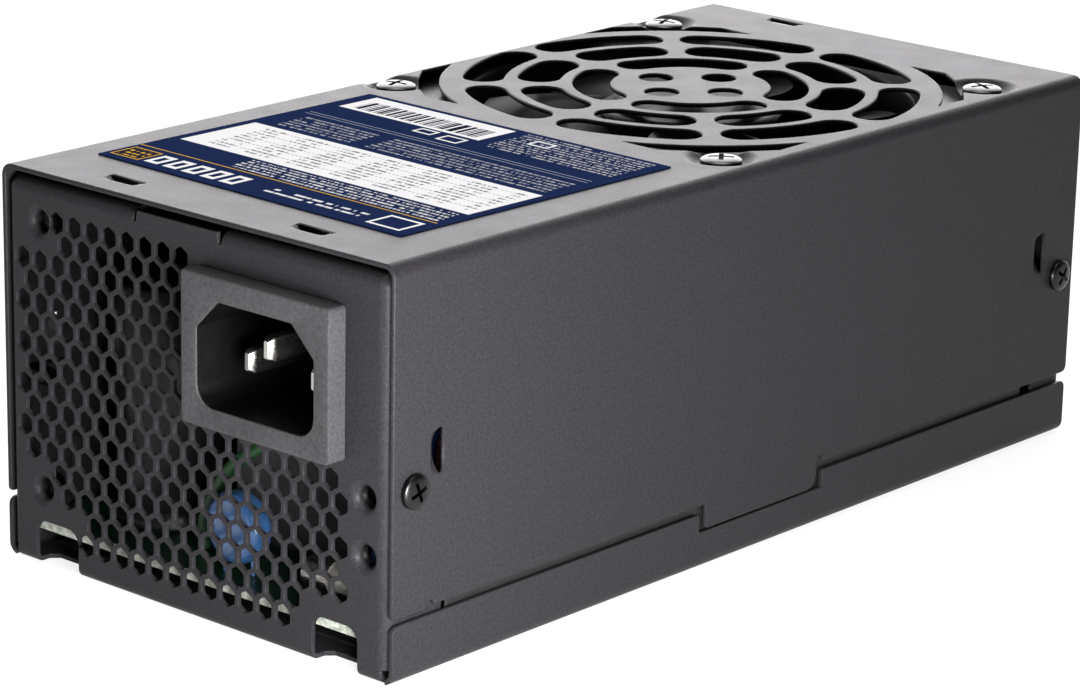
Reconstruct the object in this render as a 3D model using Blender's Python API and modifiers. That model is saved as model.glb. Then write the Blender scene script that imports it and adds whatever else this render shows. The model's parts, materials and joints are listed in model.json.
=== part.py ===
"""Computer power supply unit of the TFX size, as an assembly of its separate pieces.

A sheet steel case 85 mm wide, 65 mm high and 175 mm long is made of a base and a cover. The base
carries the inlet panel with its honeycomb vent, and the electronics; the cover carries the fan.
Every named size is in millimetres and becomes metres where a mesh is made. X is the width, +Y runs
from the inlet panel to the cable end and +Z is up. The origin is at the centre of the underside.
"""

import math

import bmesh
import bpy
from mathutils import Matrix, Vector

MM = 0.001
GAP = 0.3            # clearance between two pieces that touch on the real object
FIT = 0.1            # clearance between flat faces that rest on each other

# Case
CASE_W = 85.0
CASE_L = 175.0
CASE_H = 65.0
SHEET = 0.8
BEND_R = 2.0
BEND_STEPS = 3
INLET_PROUD = 3.7
BUSHING_PROUD = 1.7
INLET_FACE_Y = -(CASE_L + BUSHING_PROUD - INLET_PROUD) / 2
INSIDE_X = CASE_W / 2 - SHEET

# Seam between cover and base, heights above the underside
FLANGE_TOP = 9.5
COVER_EDGE = 11.0
TAB_FRONT = 73.4     # distances along the case from the inlet panel
TAB_BACK = 103.5
TAB_EDGE = 6.7
TAB_SEAM = 0.3
TAB_SIDE_GAP = 1.6

# End panels, which stand inside the cover
PANEL_HALF_W = INSIDE_X - GAP
PANEL_TOP = CASE_H - SHEET - 1.0
PANEL_FLANGE = 12.0
FAR_FLANGE = 9.0
TOP_FLANGE = 8.0
TOP_FLANGE_GAP = (30.75, 48.6)   # from the -X side

# Honeycomb vent: the first and last hole of each row, counted from the -X side
HEX_PITCH = 3.98
HEX_ROW_PITCH = 3.45
HEX_FLATS = 3.1
HEX_FIRST_X = 4.6
HEX_ODD_SHIFT = 2.0
HEX_FIRST_DROP = 7.6
SHORT_ROW = (2, 9)
BESIDE_INLET_ROW = (0, 9)
FULL_ROW = (0, 17)
INSET_ROW = (2, 17)
FOOT_ROWS = [(4, 15), (3, 14)]
HEX_ROWS = [SHORT_ROW] * 2 + [BESIDE_INLET_ROW] * 6 + [FULL_ROW] * 4 + [INSET_ROW] * 2 + FOOT_ROWS

# Number 6-32 holes of the inlet panel: distance from the -X side and drop from the top
MOUNT_HOLES = [(8.5, 8.2), (8.6, 52.2), (79.2, 36.6), (79.3, 45.8)]
MOUNT_HOLE_R = 1.75
COLLAR_R = 2.7
COLLAR_DEPTH = 1.6

# Notches across the front bend of the base: start and end from the -X side
NOTCHES = [(6.9, 16.7), (68.6, 78.0)]
NOTCH_TOP = 7.5
NOTCH_DEPTH = 4.0

# Mains inlet
INLET_X = 17.4
INLET_Z = 45.3
BEZEL_W = 31.2
BEZEL_H = 24.0
BODY_W = 28.0
BODY_H = 21.0
SOCKET_W = 24.6
SOCKET_H = 17.4
SOCKET_DEPTH = 19.0
SOCKET_CHAMFER = 4.6
SOCKET_CORNER_R = 3.4
INLET_BACK_WALL = 2.4
PIN_W = 2.0
PIN_H = 4.0
PIN_SPREAD = 7.0
PIN_OFFSET = 2.0
LIVE_TIP = 5.5       # how far a pin's tip stands behind the bezel's face
EARTH_TIP = 2.6
TAB_END = 26.0

# Fan, 80 x 80 x 15
FAN_X = -1.2
FAN_ALONG = 119.9
FAN_SIZE = 80.0
FAN_DEPTH = 15.0
FAN_BORE_R = 38.3
FAN_HOLE_HALF_PITCH = 35.75
BLADE_TIP_R = 36.4
BLADES = 7
HUB_R = 16.0
HUB_INSIDE_R = 14.5
SHAFT_R = 1.0
DIMPLE_DEPTH = 1.2
DIMPLE_TOP_R = 4.2
DIMPLE_FLOOR_R = 3.8
FAN_TOP = CASE_H - DIMPLE_DEPTH - SHEET - GAP
FAN_BOTTOM = FAN_TOP - FAN_DEPTH

# Fan grille in the cover: inner radius, outer radius and number of slots of each ring
GRILLE_RINGS = [(13.8, 20.3, 4), (22.5, 30.0, 8), (32.2, 39.3, 8)]
SPOKE = 3.0
GRILLE_HALF = 39.3
CRESCENT = (43.2, 46.7)
HUB_HOLE_R = 3.0
HUB_HOLE_RING_R = 7.7

# Screws
SCREW_SIDES = 10
FAN_SCREW_HEAD_R = 3.4
FAN_SCREW_HEAD_H = 1.3
FAN_SCREW_R = 1.9
COVER_SCREW_ALONG = (4.4, 170.25)
COVER_SCREW_Z = 29.9
COVER_SCREW_HEAD_R = 2.75
COVER_SCREW_HEAD_H = 1.4
COVER_SCREW_R = 1.5

# Lanced slots: side slits and top slots, with the top ones given from the -X side
LANCE_ALONG = (10.75, 166.1)
LANCE_LOW = 31.4
LANCE_HIGH = 38.4
TOP_LANCES = [(21.75, 5.4), (62.4, 5.4), (20.9, 171.4)]
TOP_LANCE_L = 7.2
TOP_LANCE_W = 1.2

# Rating label on the cover
LABEL_W = 67.6
LABEL_L = 60.8
LABEL_T = 0.15
LABEL_GAP = 0.05
LABEL_X = -0.9
LABEL_ALONG = 43.4
LABEL_TURN = -1.4    # degrees

# Cable bushing in the far panel
BUSHING_X = 20.0
BUSHING_Z = 30.0
BUSHING_R = 9.9
BUSHING_BORE_R = 8.0

# Main circuit board
BOARD_LOW = 4.7
BOARD_T = 1.6
BOARD_HALF_W = 39.8
BOARD_FRONT = 2.8
BOARD_BACK = 150.0
ON_BOARD = BOARD_LOW + BOARD_T + FIT
STANDOFF_R = 2.6
STANDOFF_BORE_R = 1.7
BOARD_FIXINGS = [(-37.0, 24.0), (36.6, 24.0), (-36.0, 144.0), (36.0, 144.0)]
INSULATION_HALF_W = 38.5
INSULATION_FRONT = 7.0
INSULATION_BACK = 148.0
INSULATION_T = 0.4

FINISHES = {
    "black_powder_coat": ((0.045, 0.044, 0.047), 0.45, 0.0),
    "black_plastic": ((0.02, 0.02, 0.022), 0.45, 0.0),
    "fan_plastic": ((0.018, 0.018, 0.02), 0.35, 0.0),
    "bright_nickel": ((0.62, 0.60, 0.56), 0.25, 1.0),
    "black_steel": ((0.03, 0.03, 0.03), 0.35, 1.0),
    "brass": ((0.60, 0.43, 0.17), 0.35, 1.0),
    "steel": ((0.45, 0.45, 0.45), 0.35, 1.0),
    "label_film": ((0.03, 0.05, 0.15), 0.4, 0.0),
    "board_green": ((0.02, 0.16, 0.06), 0.4, 0.0),
    "insulation": ((0.03, 0.03, 0.03), 0.5, 0.0),
    "aluminium": ((0.62, 0.63, 0.64), 0.35, 1.0),
    "ferrite": ((0.05, 0.05, 0.055), 0.6, 0.0),
    "copper_winding": ((0.55, 0.22, 0.07), 0.35, 0.0),
    "yellow_tape": ((0.75, 0.55, 0.06), 0.4, 0.0),
    "blue_epoxy": ((0.03, 0.12, 0.42), 0.3, 0.0),
    "grey_case": ((0.28, 0.28, 0.29), 0.45, 0.0),
    "black_sleeve": ((0.02, 0.02, 0.022), 0.3, 0.0),
    "glass_and_caps": ((0.70, 0.70, 0.68), 0.15, 0.0),
    "magnet": ((0.08, 0.08, 0.08), 0.6, 0.0),
    "brown_wire": ((0.12, 0.05, 0.03), 0.4, 0.0),
    "blue_wire": ((0.03, 0.08, 0.35), 0.4, 0.0),
    "green_wire": ((0.06, 0.30, 0.08), 0.4, 0.0),
}


# ---------------------------------------------------------------- scene and shape helpers

def clear_scene():
    for obj in list(bpy.data.objects):
        bpy.data.objects.remove(obj, do_unlink=True)


def add_collection(name):
    made = bpy.data.collections.new(name)
    bpy.context.scene.collection.children.link(made)
    return made


def make_materials():
    made = {}
    for name, (colour, roughness, metallic) in FINISHES.items():
        made[name] = bpy.data.materials.new(name)
        made[name].use_nodes = True
        shader = made[name].node_tree.nodes["Principled BSDF"]
        shader.inputs["Base Color"].default_value = (*colour, 1.0)
        shader.inputs["Roughness"].default_value = roughness
        shader.inputs["Metallic"].default_value = metallic
    return made


def along(distance):
    """The Y of a point this far behind the inlet panel's outer face."""
    return INLET_FACE_Y + distance


def from_left(distance):
    """The X of a point this far from the case's -X side."""
    return distance - CASE_W / 2


def add_empty(name, location=(0, 0, 0), parent=None):
    empty = bpy.data.objects.new(name, None)
    empty.location = Vector(location) * MM
    empty.parent = parent
    PARTS.objects.link(empty)
    return empty


def set_up(obj, finish, location, rotation, parent):
    obj.data.materials.append(MATERIALS[finish])
    obj.location = Vector(location) * MM
    obj.rotation_euler = [math.radians(angle) for angle in rotation]
    obj.parent = parent or CASE
    PARTS.objects.link(obj)
    return obj


def to_mesh(name, shape):
    """A Blender mesh in metres from a bmesh in millimetres."""
    bmesh.ops.scale(shape, vec=(MM, MM, MM), verts=shape.verts[:])
    mesh = bpy.data.meshes.new(name)
    shape.to_mesh(mesh)
    shape.free()
    return mesh


def add_piece(name, shape, finish, location=(0, 0, 0), rotation=(0, 0, 0), parent=None, bevel=0.0):
    """One named piece from a bmesh. Its bevel is in millimetres."""
    obj = bpy.data.objects.new(name, to_mesh(name, shape))
    obj.data.shade_smooth()
    obj.data.set_sharp_from_angle(angle=math.radians(35))
    if bevel:
        rounding = obj.modifiers.new("rounding", "BEVEL")
        rounding.width = bevel * MM
        rounding.segments = 1
        rounding.limit_method = "ANGLE"
    return set_up(obj, finish, location, rotation, parent)


def add_helper(name, shape, location=(0, 0, 0), rotation=(0, 0, 0), parent=None):
    """A hidden shape that a Boolean takes away or adds."""
    obj = bpy.data.objects.new(name, to_mesh(name, shape))
    obj.location = Vector(location) * MM
    obj.rotation_euler = [math.radians(angle) for angle in rotation]
    obj.parent = parent or CASE
    obj.hide_render = True
    obj.display_type = "WIRE"
    HELPERS.objects.link(obj)
    return obj


def apply_boolean(obj, helper, operation):
    modifier = obj.modifiers.new(helper.name, "BOOLEAN")
    modifier.operation = operation
    modifier.object = helper
    modifier.solver = "EXACT"


def cut(obj, label, shape, **place):
    apply_boolean(obj, add_helper(f"{obj.name}_{label}_cut", shape, **place), "DIFFERENCE")


def join(obj, label, shape, **place):
    apply_boolean(obj, add_helper(f"{obj.name}_{label}_join", shape, **place), "UNION")


def blocks(*corners):
    """Separate boxes, each from a (low corner, high corner) pair."""
    shape = bmesh.new()
    for low, high in corners:
        middle = (Vector(low) + Vector(high)) / 2
        size = Vector(high) - Vector(low)
        place = Matrix.Translation(middle) @ Matrix.Diagonal((*size, 1.0))
        bmesh.ops.create_cube(shape, size=1.0, matrix=place)
    return shape


def rods(places, radius, length, segments, axis="Z"):
    """Separate cylinders of one size, each centred on one of the places and lying along the axis."""
    quarter = math.pi / 2
    turn = {"X": Matrix.Rotation(quarter, 4, "Y"), "Y": Matrix.Rotation(quarter, 4, "X"), "Z": Matrix()}
    shape = bmesh.new()
    for place in places:
        bmesh.ops.create_cone(
            shape, cap_ends=True, segments=segments, radius1=radius, radius2=radius, depth=length,
            matrix=Matrix.Translation(place) @ turn[axis],
        )
    return shape


def prisms(outlines, low, high):
    """Separate upright prisms on flat outlines that run anticlockwise seen from above."""
    shape = bmesh.new()
    for outline in outlines:
        base = shape.faces.new([shape.verts.new((x, y, low)) for x, y in outline])
        raised = bmesh.ops.extrude_face_region(shape, geom=[base])["geom"]
        moved = [item for item in raised if isinstance(item, bmesh.types.BMVert)]
        bmesh.ops.translate(shape, vec=(0, 0, high - low), verts=moved)
    bmesh.ops.recalc_face_normals(shape, faces=shape.faces[:])
    return shape


def arc(centre, radius, start, end, steps):
    """Points of an arc, with its angles in degrees."""
    angles = [math.radians(start + (end - start) * step / steps) for step in range(steps + 1)]
    return [(centre[0] + radius * math.cos(a), centre[1] + radius * math.sin(a)) for a in angles]


def bent_sheet(profile, length):
    """An open sheet: a flat profile with its corners rounded, pulled along Y."""
    shape = bmesh.new()
    line = [shape.verts.new((x, 0, z)) for x, z in profile]
    edges = [shape.edges.new(pair) for pair in zip(line, line[1:])]
    pulled = bmesh.ops.extrude_edge_only(shape, edges=edges)["geom"]
    moved = [item for item in pulled if isinstance(item, bmesh.types.BMVert)]
    bmesh.ops.translate(shape, vec=(0, length, 0), verts=moved)
    return shape


def thicken(obj, thickness, offset):
    sheet = obj.modifiers.new("sheet", "SOLIDIFY")
    sheet.thickness = thickness * MM
    sheet.offset = offset
    sheet.use_even_offset = True


def turned(name, profile, finish, steps, location=(0, 0, 0), rotation=(0, 0, 0), parent=None, closed=False):
    """A turned piece: the profile's (radius, height) points go down its outer side, round Z."""
    mesh = bpy.data.meshes.new(name)
    count = len(profile)
    edges = [(i, i + 1) for i in range(count - 1)] + ([(count - 1, 0)] if closed else [])
    mesh.from_pydata([(radius * MM, 0, height * MM) for radius, height in profile], edges, [])
    obj = bpy.data.objects.new(name, mesh)
    spin = obj.modifiers.new("spin", "SCREW")
    spin.steps = spin.render_steps = steps
    spin.use_merge_vertices = True
    spin.merge_threshold = 0.00001
    spin.use_smooth_shade = True
    return set_up(obj, finish, location, rotation, parent)


def smooth_route(points, per_span):
    """Points of a Catmull-Rom curve through the route's own points."""
    ends = [points[0] * 2 - points[1], *points, points[-1] * 2 - points[-2]]
    route = []
    for a, b, c, d in zip(ends, ends[1:], ends[2:], ends[3:]):
        for step in range(per_span):
            t = step / per_span
            square, cube = t * t, t * t * t
            bend = (2 * a - 5 * b + 4 * c - d) * square + (3 * b - a - 3 * c + d) * cube
            route.append(0.5 * (2 * b + (c - a) * t + bend))
    return route + [points[-1]]


def add_wire(name, points, radius, finish):
    """An insulated wire along a route, whose points are (X, distance from the inlet panel, Z)."""
    route = smooth_route([Vector((x, along(y), z)) * MM for x, y, z in points], 3)
    curve = bpy.data.curves.new(name, "CURVE")
    curve.dimensions = "3D"
    curve.bevel_depth = radius * MM
    curve.bevel_resolution = 1
    curve.use_fill_caps = True
    spline = curve.splines.new("POLY")
    spline.points.add(len(route) - 1)
    for point, place in zip(spline.points, route):
        point.co = (*place, 1.0)
    return set_up(bpy.data.objects.new(name, curve), finish, (0, 0, 0), (0, 0, 0), None)


# ---------------------------------------------------------------- case

def u_profile(half_width, top, bottom, rounded_at_top):
    """An upright U with two rounded corners, from its -X end to its +X end."""
    corner = half_width - BEND_R
    if rounded_at_top:
        left = arc((-corner, top - BEND_R), BEND_R, 180, 90, BEND_STEPS)
        return [(-half_width, bottom), *left, *[(-x, z) for x, z in reversed(left)], (half_width, bottom)]
    left = arc((-corner, bottom + BEND_R), BEND_R, 180, 270, BEND_STEPS)
    return [(-half_width, top), *left, *[(-x, z) for x, z in reversed(left)], (half_width, top)]


def ring_slot(inner, outer, start, end):
    """A slot bent round the centre, with round ends whose centres stand at the two angles."""
    middle = (inner + outer) / 2
    half = (outer - inner) / 2
    steps = max(3, round((end - start) / 10))
    first, last = (arc((0, 0), middle, angle, angle, 1)[0] for angle in (start, end))
    outline = arc((0, 0), outer, start, end, steps) + arc(last, half, end, end + 180, 4)[1:-1]
    outline += arc((0, 0), inner, end, start, steps)
    return outline + arc(first, half, start + 180, start + 360, 4)[1:-1]


def grille_outlines():
    outlines = []
    for inner, outer, count in GRILLE_RINGS:
        inset = math.degrees(math.asin((SPOKE + outer - inner) / (inner + outer)))
        step = 360 / count
        for slot in range(count):
            outlines.append(ring_slot(inner, outer, slot * step + inset, (slot + 1) * step - inset))
    inner, outer = CRESCENT
    inner_end, outer_end = (math.degrees(math.acos(GRILLE_HALF / radius)) for radius in CRESCENT)
    for quarter in range(4):
        turn = quarter * 90
        outlines.append(
            arc((0, 0), outer, turn + outer_end, turn + 90 - outer_end, 4)
            + arc((0, 0), inner, turn + 90 - inner_end, turn + inner_end, 5)
        )
        hole_centre = arc((0, 0), HUB_HOLE_RING_R, turn, turn, 1)[0]
        outlines.append(arc(hole_centre, HUB_HOLE_R, 0, 330, 11))
    return outlines


def fan_hole_places(z):
    """The four fan screws' axes at this height, in order round the fan from the front -X one."""
    half = FAN_HOLE_HALF_PITCH
    signs = ((-1, -1), (1, -1), (1, 1), (-1, 1))
    return [(FAN_X + half * side, along(FAN_ALONG) + half * end, z) for side, end in signs]


def dimple_dishes():
    """The pressed cups round the fan screws, each a cone with a floor, open on top."""
    shape = bmesh.new()
    height = DIMPLE_DEPTH + SHEET
    for x, y, _ in fan_hole_places(0):
        place = Matrix.Translation((x, y, CASE_H - height / 2))
        bmesh.ops.create_cone(
            shape, cap_ends=True, segments=16, radius1=DIMPLE_FLOOR_R + SHEET, radius2=DIMPLE_TOP_R + SHEET,
            depth=height - 0.1, matrix=place,
        )
    return shape


def dimple_hollows():
    shape = bmesh.new()
    for x, y, _ in fan_hole_places(0):
        place = Matrix.Translation((x, y, CASE_H - DIMPLE_DEPTH / 2 + 0.5))
        bmesh.ops.create_cone(
            shape, cap_ends=True, segments=16, radius1=DIMPLE_FLOOR_R, radius2=DIMPLE_TOP_R + 0.3,
            depth=DIMPLE_DEPTH + 1.0, matrix=place,
        )
    return shape


def cover_edge_cuts():
    """What the side walls lose below their edge, in front of the middle tab and behind it."""
    wide = CASE_W / 2 + 1
    return blocks(
        ((-wide, along(-1), 0), (wide, along(TAB_FRONT), COVER_EDGE)),
        ((-wide, along(TAB_BACK), 0), (wide, along(CASE_L + 1), COVER_EDGE)),
    )


def lance_cuts():
    """Slits of the lanced catches, in both side walls and in the top."""
    reach = CASE_W / 2 + 1
    sides = [((-reach, along(y) - 0.5, LANCE_LOW), (reach, along(y) + 0.5, LANCE_HIGH)) for y in LANCE_ALONG]
    tops = []
    for left, y in TOP_LANCES:
        low = (from_left(left) - TOP_LANCE_L / 2, along(y) - TOP_LANCE_W / 2, CASE_H - 3)
        high = (from_left(left) + TOP_LANCE_L / 2, along(y) + TOP_LANCE_W / 2, CASE_H + 1)
        tops.append((low, high))
    return blocks(*sides, *tops)


def cover_screw_places():
    return [(0, along(y), COVER_SCREW_Z) for y in COVER_SCREW_ALONG]


def make_top_cover():
    profile = u_profile(CASE_W / 2, CASE_H, TAB_EDGE, rounded_at_top=True)
    cover = add_piece("top_cover", bent_sheet(profile, CASE_L), "black_powder_coat", (0, INLET_FACE_Y, 0))
    thicken(cover, SHEET, 1.0)
    cut(cover, "edge", cover_edge_cuts())
    grille = prisms(grille_outlines(), CASE_H - 3, CASE_H + 2)
    cut(cover, "grille", grille, location=(FAN_X, along(FAN_ALONG), 0))
    join(cover, "dimples", dimple_dishes())
    cut(cover, "dimple_hollows", dimple_hollows())
    cut(cover, "fan_screw_holes", rods(fan_hole_places(CASE_H), FAN_SCREW_R + GAP, 12, 12))
    cut(cover, "lances", lance_cuts())
    cut(cover, "side_screw_holes", rods(cover_screw_places(), COVER_SCREW_R + GAP, CASE_W + 4, 12, "X"))


def end_panel(flange, inlet_side):
    """A panel with a flange bent inwards down each side, as an outline in the XY plane."""
    outside = arc((-PANEL_HALF_W + BEND_R, BEND_R), BEND_R, 180, 270, BEND_STEPS)
    inside = arc((-PANEL_HALF_W + BEND_R, BEND_R), BEND_R - SHEET, 270, 180, BEND_STEPS)
    left = [(-PANEL_HALF_W, flange), *outside]
    right = [(-x, y) for x, y in reversed(left)]
    left_inside = [*inside, (-PANEL_HALF_W + SHEET, flange)]
    right_inside = [(-x, y) for x, y in reversed(left_inside)]
    outline = left + right + right_inside + left_inside
    if inlet_side:
        return [(x, along(y)) for x, y in outline]
    return [(x, along(CASE_L - y)) for x, y in reversed(outline)]


def honeycomb():
    """Six-sided holes in staggered rows, point up."""
    shape = bmesh.new()
    radius = HEX_FLATS / math.sqrt(3)
    lie_along_y = Matrix.Rotation(math.pi / 2, 4, "X")
    point_up = Matrix.Rotation(math.pi / 2, 4, "Z")
    for row, (first, last) in enumerate(HEX_ROWS):
        z = CASE_H - HEX_FIRST_DROP - HEX_ROW_PITCH * row
        shift = HEX_FIRST_X + HEX_ODD_SHIFT * (row % 2)
        for column in range(first, last + 1):
            place = Matrix.Translation((from_left(shift + HEX_PITCH * column), along(0.5), z))
            bmesh.ops.create_cone(
                shape, cap_ends=True, segments=6, radius1=radius, radius2=radius, depth=3.0,
                matrix=place @ lie_along_y @ point_up,
            )
    return shape


def mount_hole_places(behind_face):
    return [(from_left(x), along(behind_face), CASE_H - drop) for x, drop in MOUNT_HOLES]


def notch_cuts():
    """Two arched notches that run from the inlet panel's foot into the bottom plate."""
    shape = bmesh.new()
    for start, end in NOTCHES:
        middle = from_left((start + end) / 2)
        half = (end - start) / 2
        arch = arc((middle, NOTCH_TOP - 2.5), 2.5, 0, 90, 3)
        right = [(half + middle - 2.5 + (x - middle), z) for x, z in arch]
        left = [(2 * middle - x, z) for x, z in reversed(right)]
        outline = [(middle - half, -1), (middle + half, -1), *right, *left]
        base = shape.faces.new([shape.verts.new((x, along(-1), z)) for x, z in outline])
        raised = bmesh.ops.extrude_face_region(shape, geom=[base])["geom"]
        moved = [item for item in raised if isinstance(item, bmesh.types.BMVert)]
        bmesh.ops.translate(shape, vec=(0, NOTCH_DEPTH + 1, 0), verts=moved)
    bmesh.ops.recalc_face_normals(shape, faces=shape.faces[:])
    return shape


def flange_relief():
    """Room in both base flanges for the cover's middle tabs."""
    wide = CASE_W / 2 + 1
    low = (-wide, along(TAB_FRONT - TAB_SIDE_GAP), TAB_EDGE - TAB_SEAM)
    return blocks((low, (wide, along(TAB_BACK + 0.5), FLANGE_TOP + 1)))


def top_flanges():
    """The inlet panel's top edge, bent inwards on both sides of a plain middle stretch."""
    low, high = PANEL_TOP - SHEET, PANEL_TOP - 0.05
    gap_start, gap_end = (from_left(x) for x in TOP_FLANGE_GAP)
    end = PANEL_HALF_W - BEND_R
    return blocks(
        ((-end, along(0.4), low), (gap_start, along(TOP_FLANGE), high)),
        ((gap_end, along(0.4), low), (end, along(TOP_FLANGE), high)),
    )


def make_base_chassis():
    profile = u_profile(CASE_W / 2, FLANGE_TOP, 0, rounded_at_top=False)
    base = add_piece("base_chassis", bent_sheet(profile, CASE_L), "black_powder_coat", (0, INLET_FACE_Y, 0))
    thicken(base, SHEET, -1.0)
    cut(base, "flange_relief", flange_relief())
    join(base, "inlet_panel", prisms([end_panel(PANEL_FLANGE, True)], 0.3, PANEL_TOP))
    join(base, "far_panel", prisms([end_panel(FAR_FLANGE, False)], 0.3, PANEL_TOP))
    join(base, "top_flanges", top_flanges())
    collar_middle = (SHEET + COLLAR_DEPTH) / 2 + 0.1
    join(base, "collars", rods(mount_hole_places(collar_middle), COLLAR_R, COLLAR_DEPTH, 10, "Y"))
    cut(base, "honeycomb", honeycomb())
    cut(base, "mount_holes", rods(mount_hole_places(0), MOUNT_HOLE_R, 8, 10, "Y"))
    half_w = BODY_W / 2 + GAP
    half_h = BODY_H / 2 + GAP
    low = (INLET_X - half_w, along(-1), INLET_Z - half_h)
    high = (INLET_X + half_w, along(2), INLET_Z + half_h)
    cut(base, "inlet_opening", blocks((low, high)))
    cut(base, "notches", notch_cuts())
    cut(base, "side_screw_holes", rods(cover_screw_places(), COVER_SCREW_R + GAP, CASE_W + 4, 12, "X"))
    bushing_hole = rods([(BUSHING_X, along(CASE_L), BUSHING_Z)], BUSHING_R + GAP, 6, 24, "Y")
    cut(base, "bushing_hole", bushing_hole)


def make_rating_label():
    half = (LABEL_W / 2, LABEL_L / 2)
    sheet = blocks(((-half[0], -half[1], 0), (*half, LABEL_T)))
    place = (LABEL_X, along(LABEL_ALONG), CASE_H + LABEL_GAP)
    add_piece("rating_label", sheet, "label_film", place, (0, 0, LABEL_TURN))


def make_cable_bushing():
    outside, inside = BUSHING_PROUD, -4.0
    profile = [
        (12.0, outside - 0.5), (12.0, FIT), (BUSHING_R, FIT), (BUSHING_R, inside), (BUSHING_BORE_R, inside),
        (BUSHING_BORE_R, outside - 0.5), (BUSHING_BORE_R + 0.5, outside), (11.5, outside),
    ]
    place = (BUSHING_X, along(CASE_L), BUSHING_Z)
    turned("cable_bushing", profile, "black_plastic", 24, place, (-90, 0, 0), closed=True)


# ---------------------------------------------------------------- mains inlet

def socket_outline(half_w, half_h, chamfer, corner_r):
    """The inlet cavity seen from the front: chamfered top corners and rounded bottom corners."""
    right = arc((half_w - corner_r, corner_r - half_h), corner_r, 270, 360, 3)
    right += [(half_w, half_h - chamfer), (half_w - chamfer, half_h)]
    return right + [(-x, z) for x, z in reversed(right)]


def make_ac_inlet_body():
    half_w, half_h = BEZEL_W / 2, BEZEL_H / 2
    bezel = blocks(((-half_w, -INLET_PROUD, -half_h), (half_w, -FIT, half_h)))
    inlet = add_piece(
        "ac_inlet_body", bezel, "black_plastic", (INLET_X, INLET_FACE_Y, INLET_Z), bevel=0.6,
    )
    back = SOCKET_DEPTH - INLET_PROUD + INLET_BACK_WALL
    body = ((-BODY_W / 2, -2.0, -BODY_H / 2), (BODY_W / 2, back, BODY_H / 2))
    place = {"location": (INLET_X, INLET_FACE_Y, INLET_Z)}
    join(inlet, "body", blocks(body), **place)
    outline = socket_outline(SOCKET_W / 2, SOCKET_H / 2, SOCKET_CHAMFER, SOCKET_CORNER_R)
    cavity = prisms([outline], -SOCKET_DEPTH, 2.0)
    face = (INLET_X, INLET_FACE_Y - INLET_PROUD, INLET_Z)
    cut(inlet, "socket", cavity, location=face, rotation=(90, 0, 0))
    slots = []
    for x, z in pin_places():
        low = (x - PIN_W / 2 - 0.15, back - 4, z - PIN_H / 2 - 0.15)
        slots.append((low, (x + PIN_W / 2 + 0.15, back + 1, z + PIN_H / 2 + 0.15)))
    cut(inlet, "pin_slots", blocks(*slots), **place)


def pin_places():
    """The three pins' centres from the inlet's own centre: line, neutral, earth."""
    return [(-PIN_SPREAD, -PIN_OFFSET), (PIN_SPREAD, -PIN_OFFSET), (0.0, PIN_OFFSET)]


def make_pins():
    tips = (LIVE_TIP, LIVE_TIP, EARTH_TIP)
    for name, (x, z), tip in zip(("line_pin", "neutral_pin", "earth_pin"), pin_places(), tips):
        front = tip - INLET_PROUD
        blade = blocks(((-PIN_W / 2, front, -PIN_H / 2), (PIN_W / 2, TAB_END, PIN_H / 2)))
        add_piece(name, blade, "bright_nickel", (INLET_X + x, INLET_FACE_Y, INLET_Z + z), bevel=0.5)


def make_inlet_leads():
    line_x, neutral_x = INLET_X - PIN_SPREAD, INLET_X + PIN_SPREAD
    live_z, earth_z = INLET_Z - PIN_OFFSET, INLET_Z + PIN_OFFSET
    start = TAB_END + GAP
    foot = ON_BOARD + 0.4
    add_wire(
        "line_lead",
        [(line_x, start, live_z), (line_x, 29.4, 42), (11, 31.6, 36), (11, 31.9, 22), (11, 31.6, foot)],
        1.1, "brown_wire",
    )
    add_wire(
        "neutral_lead",
        [(neutral_x, start, live_z), (24.2, 29.2, 42), (22, 31.0, 34), (21, 31.2, 20), (21, 31.0, foot)],
        1.1, "blue_wire",
    )
    add_wire(
        "earth_lead",
        [
            (INLET_X, start, earth_z), (17.4, 30.0, 46.2), (17.0, 31.4, 40), (15.4, 28.5, 32.2),
            (9.5, 21, 29), (4, 14, 26.5), (-2, 10.6, 21.5), (-7.5, 10.6, 13), (-8.5, 11, foot),
        ],
        1.1, "green_wire",
    )


# ---------------------------------------------------------------- fan

def blade_sheets():
    """The open surfaces of the fan's blades, each pitched and swept forwards."""
    shape = bmesh.new()
    root_r, low, high = HUB_R - 0.8, 3.6, 13.2
    rows, columns = 4, 4
    for blade in range(BLADES):
        grid = []
        for row in range(rows + 1):
            v = row / rows
            radius = root_r + (BLADE_TIP_R - root_r) * v
            span = math.radians(42 - 6 * v)
            middle = math.tau * blade / BLADES + math.radians(16) * v * v
            drop = (high - low) * (1 - 0.25 * v)
            line = []
            for column in range(columns + 1):
                u = column / columns
                angle = middle + (u - 0.5) * span
                camber = 0.9 * math.sin(math.pi * u)
                height = (low + high) / 2 + (0.5 - u) * drop * 0.9 + camber - 0.4
                line.append(shape.verts.new((radius * math.cos(angle), radius * math.sin(angle), height)))
            grid.append(line)
        for near, far in zip(grid, grid[1:]):
            for column in range(columns):
                shape.faces.new((near[column], far[column], far[column + 1], near[column + 1]))
    return shape


def make_fan_rotor(axis):
    profile = [
        (0, 13.9), (15.2, 13.9), (HUB_R, 13.1), (HUB_R, 2.5), (HUB_INSIDE_R, 2.5), (HUB_INSIDE_R, 12.6),
        (2.5, 12.6), (2.5, 10.9), (1.2, 10.9), (1.2, 13.0), (0, 13.0),
    ]
    rotor = turned("fan_rotor", profile, "fan_plastic", 24, parent=axis)
    blades = add_helper("fan_blades_join", blade_sheets(), parent=axis)
    thicken(blades, 1.0, 0.0)
    apply_boolean(rotor, blades, "UNION")


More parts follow.
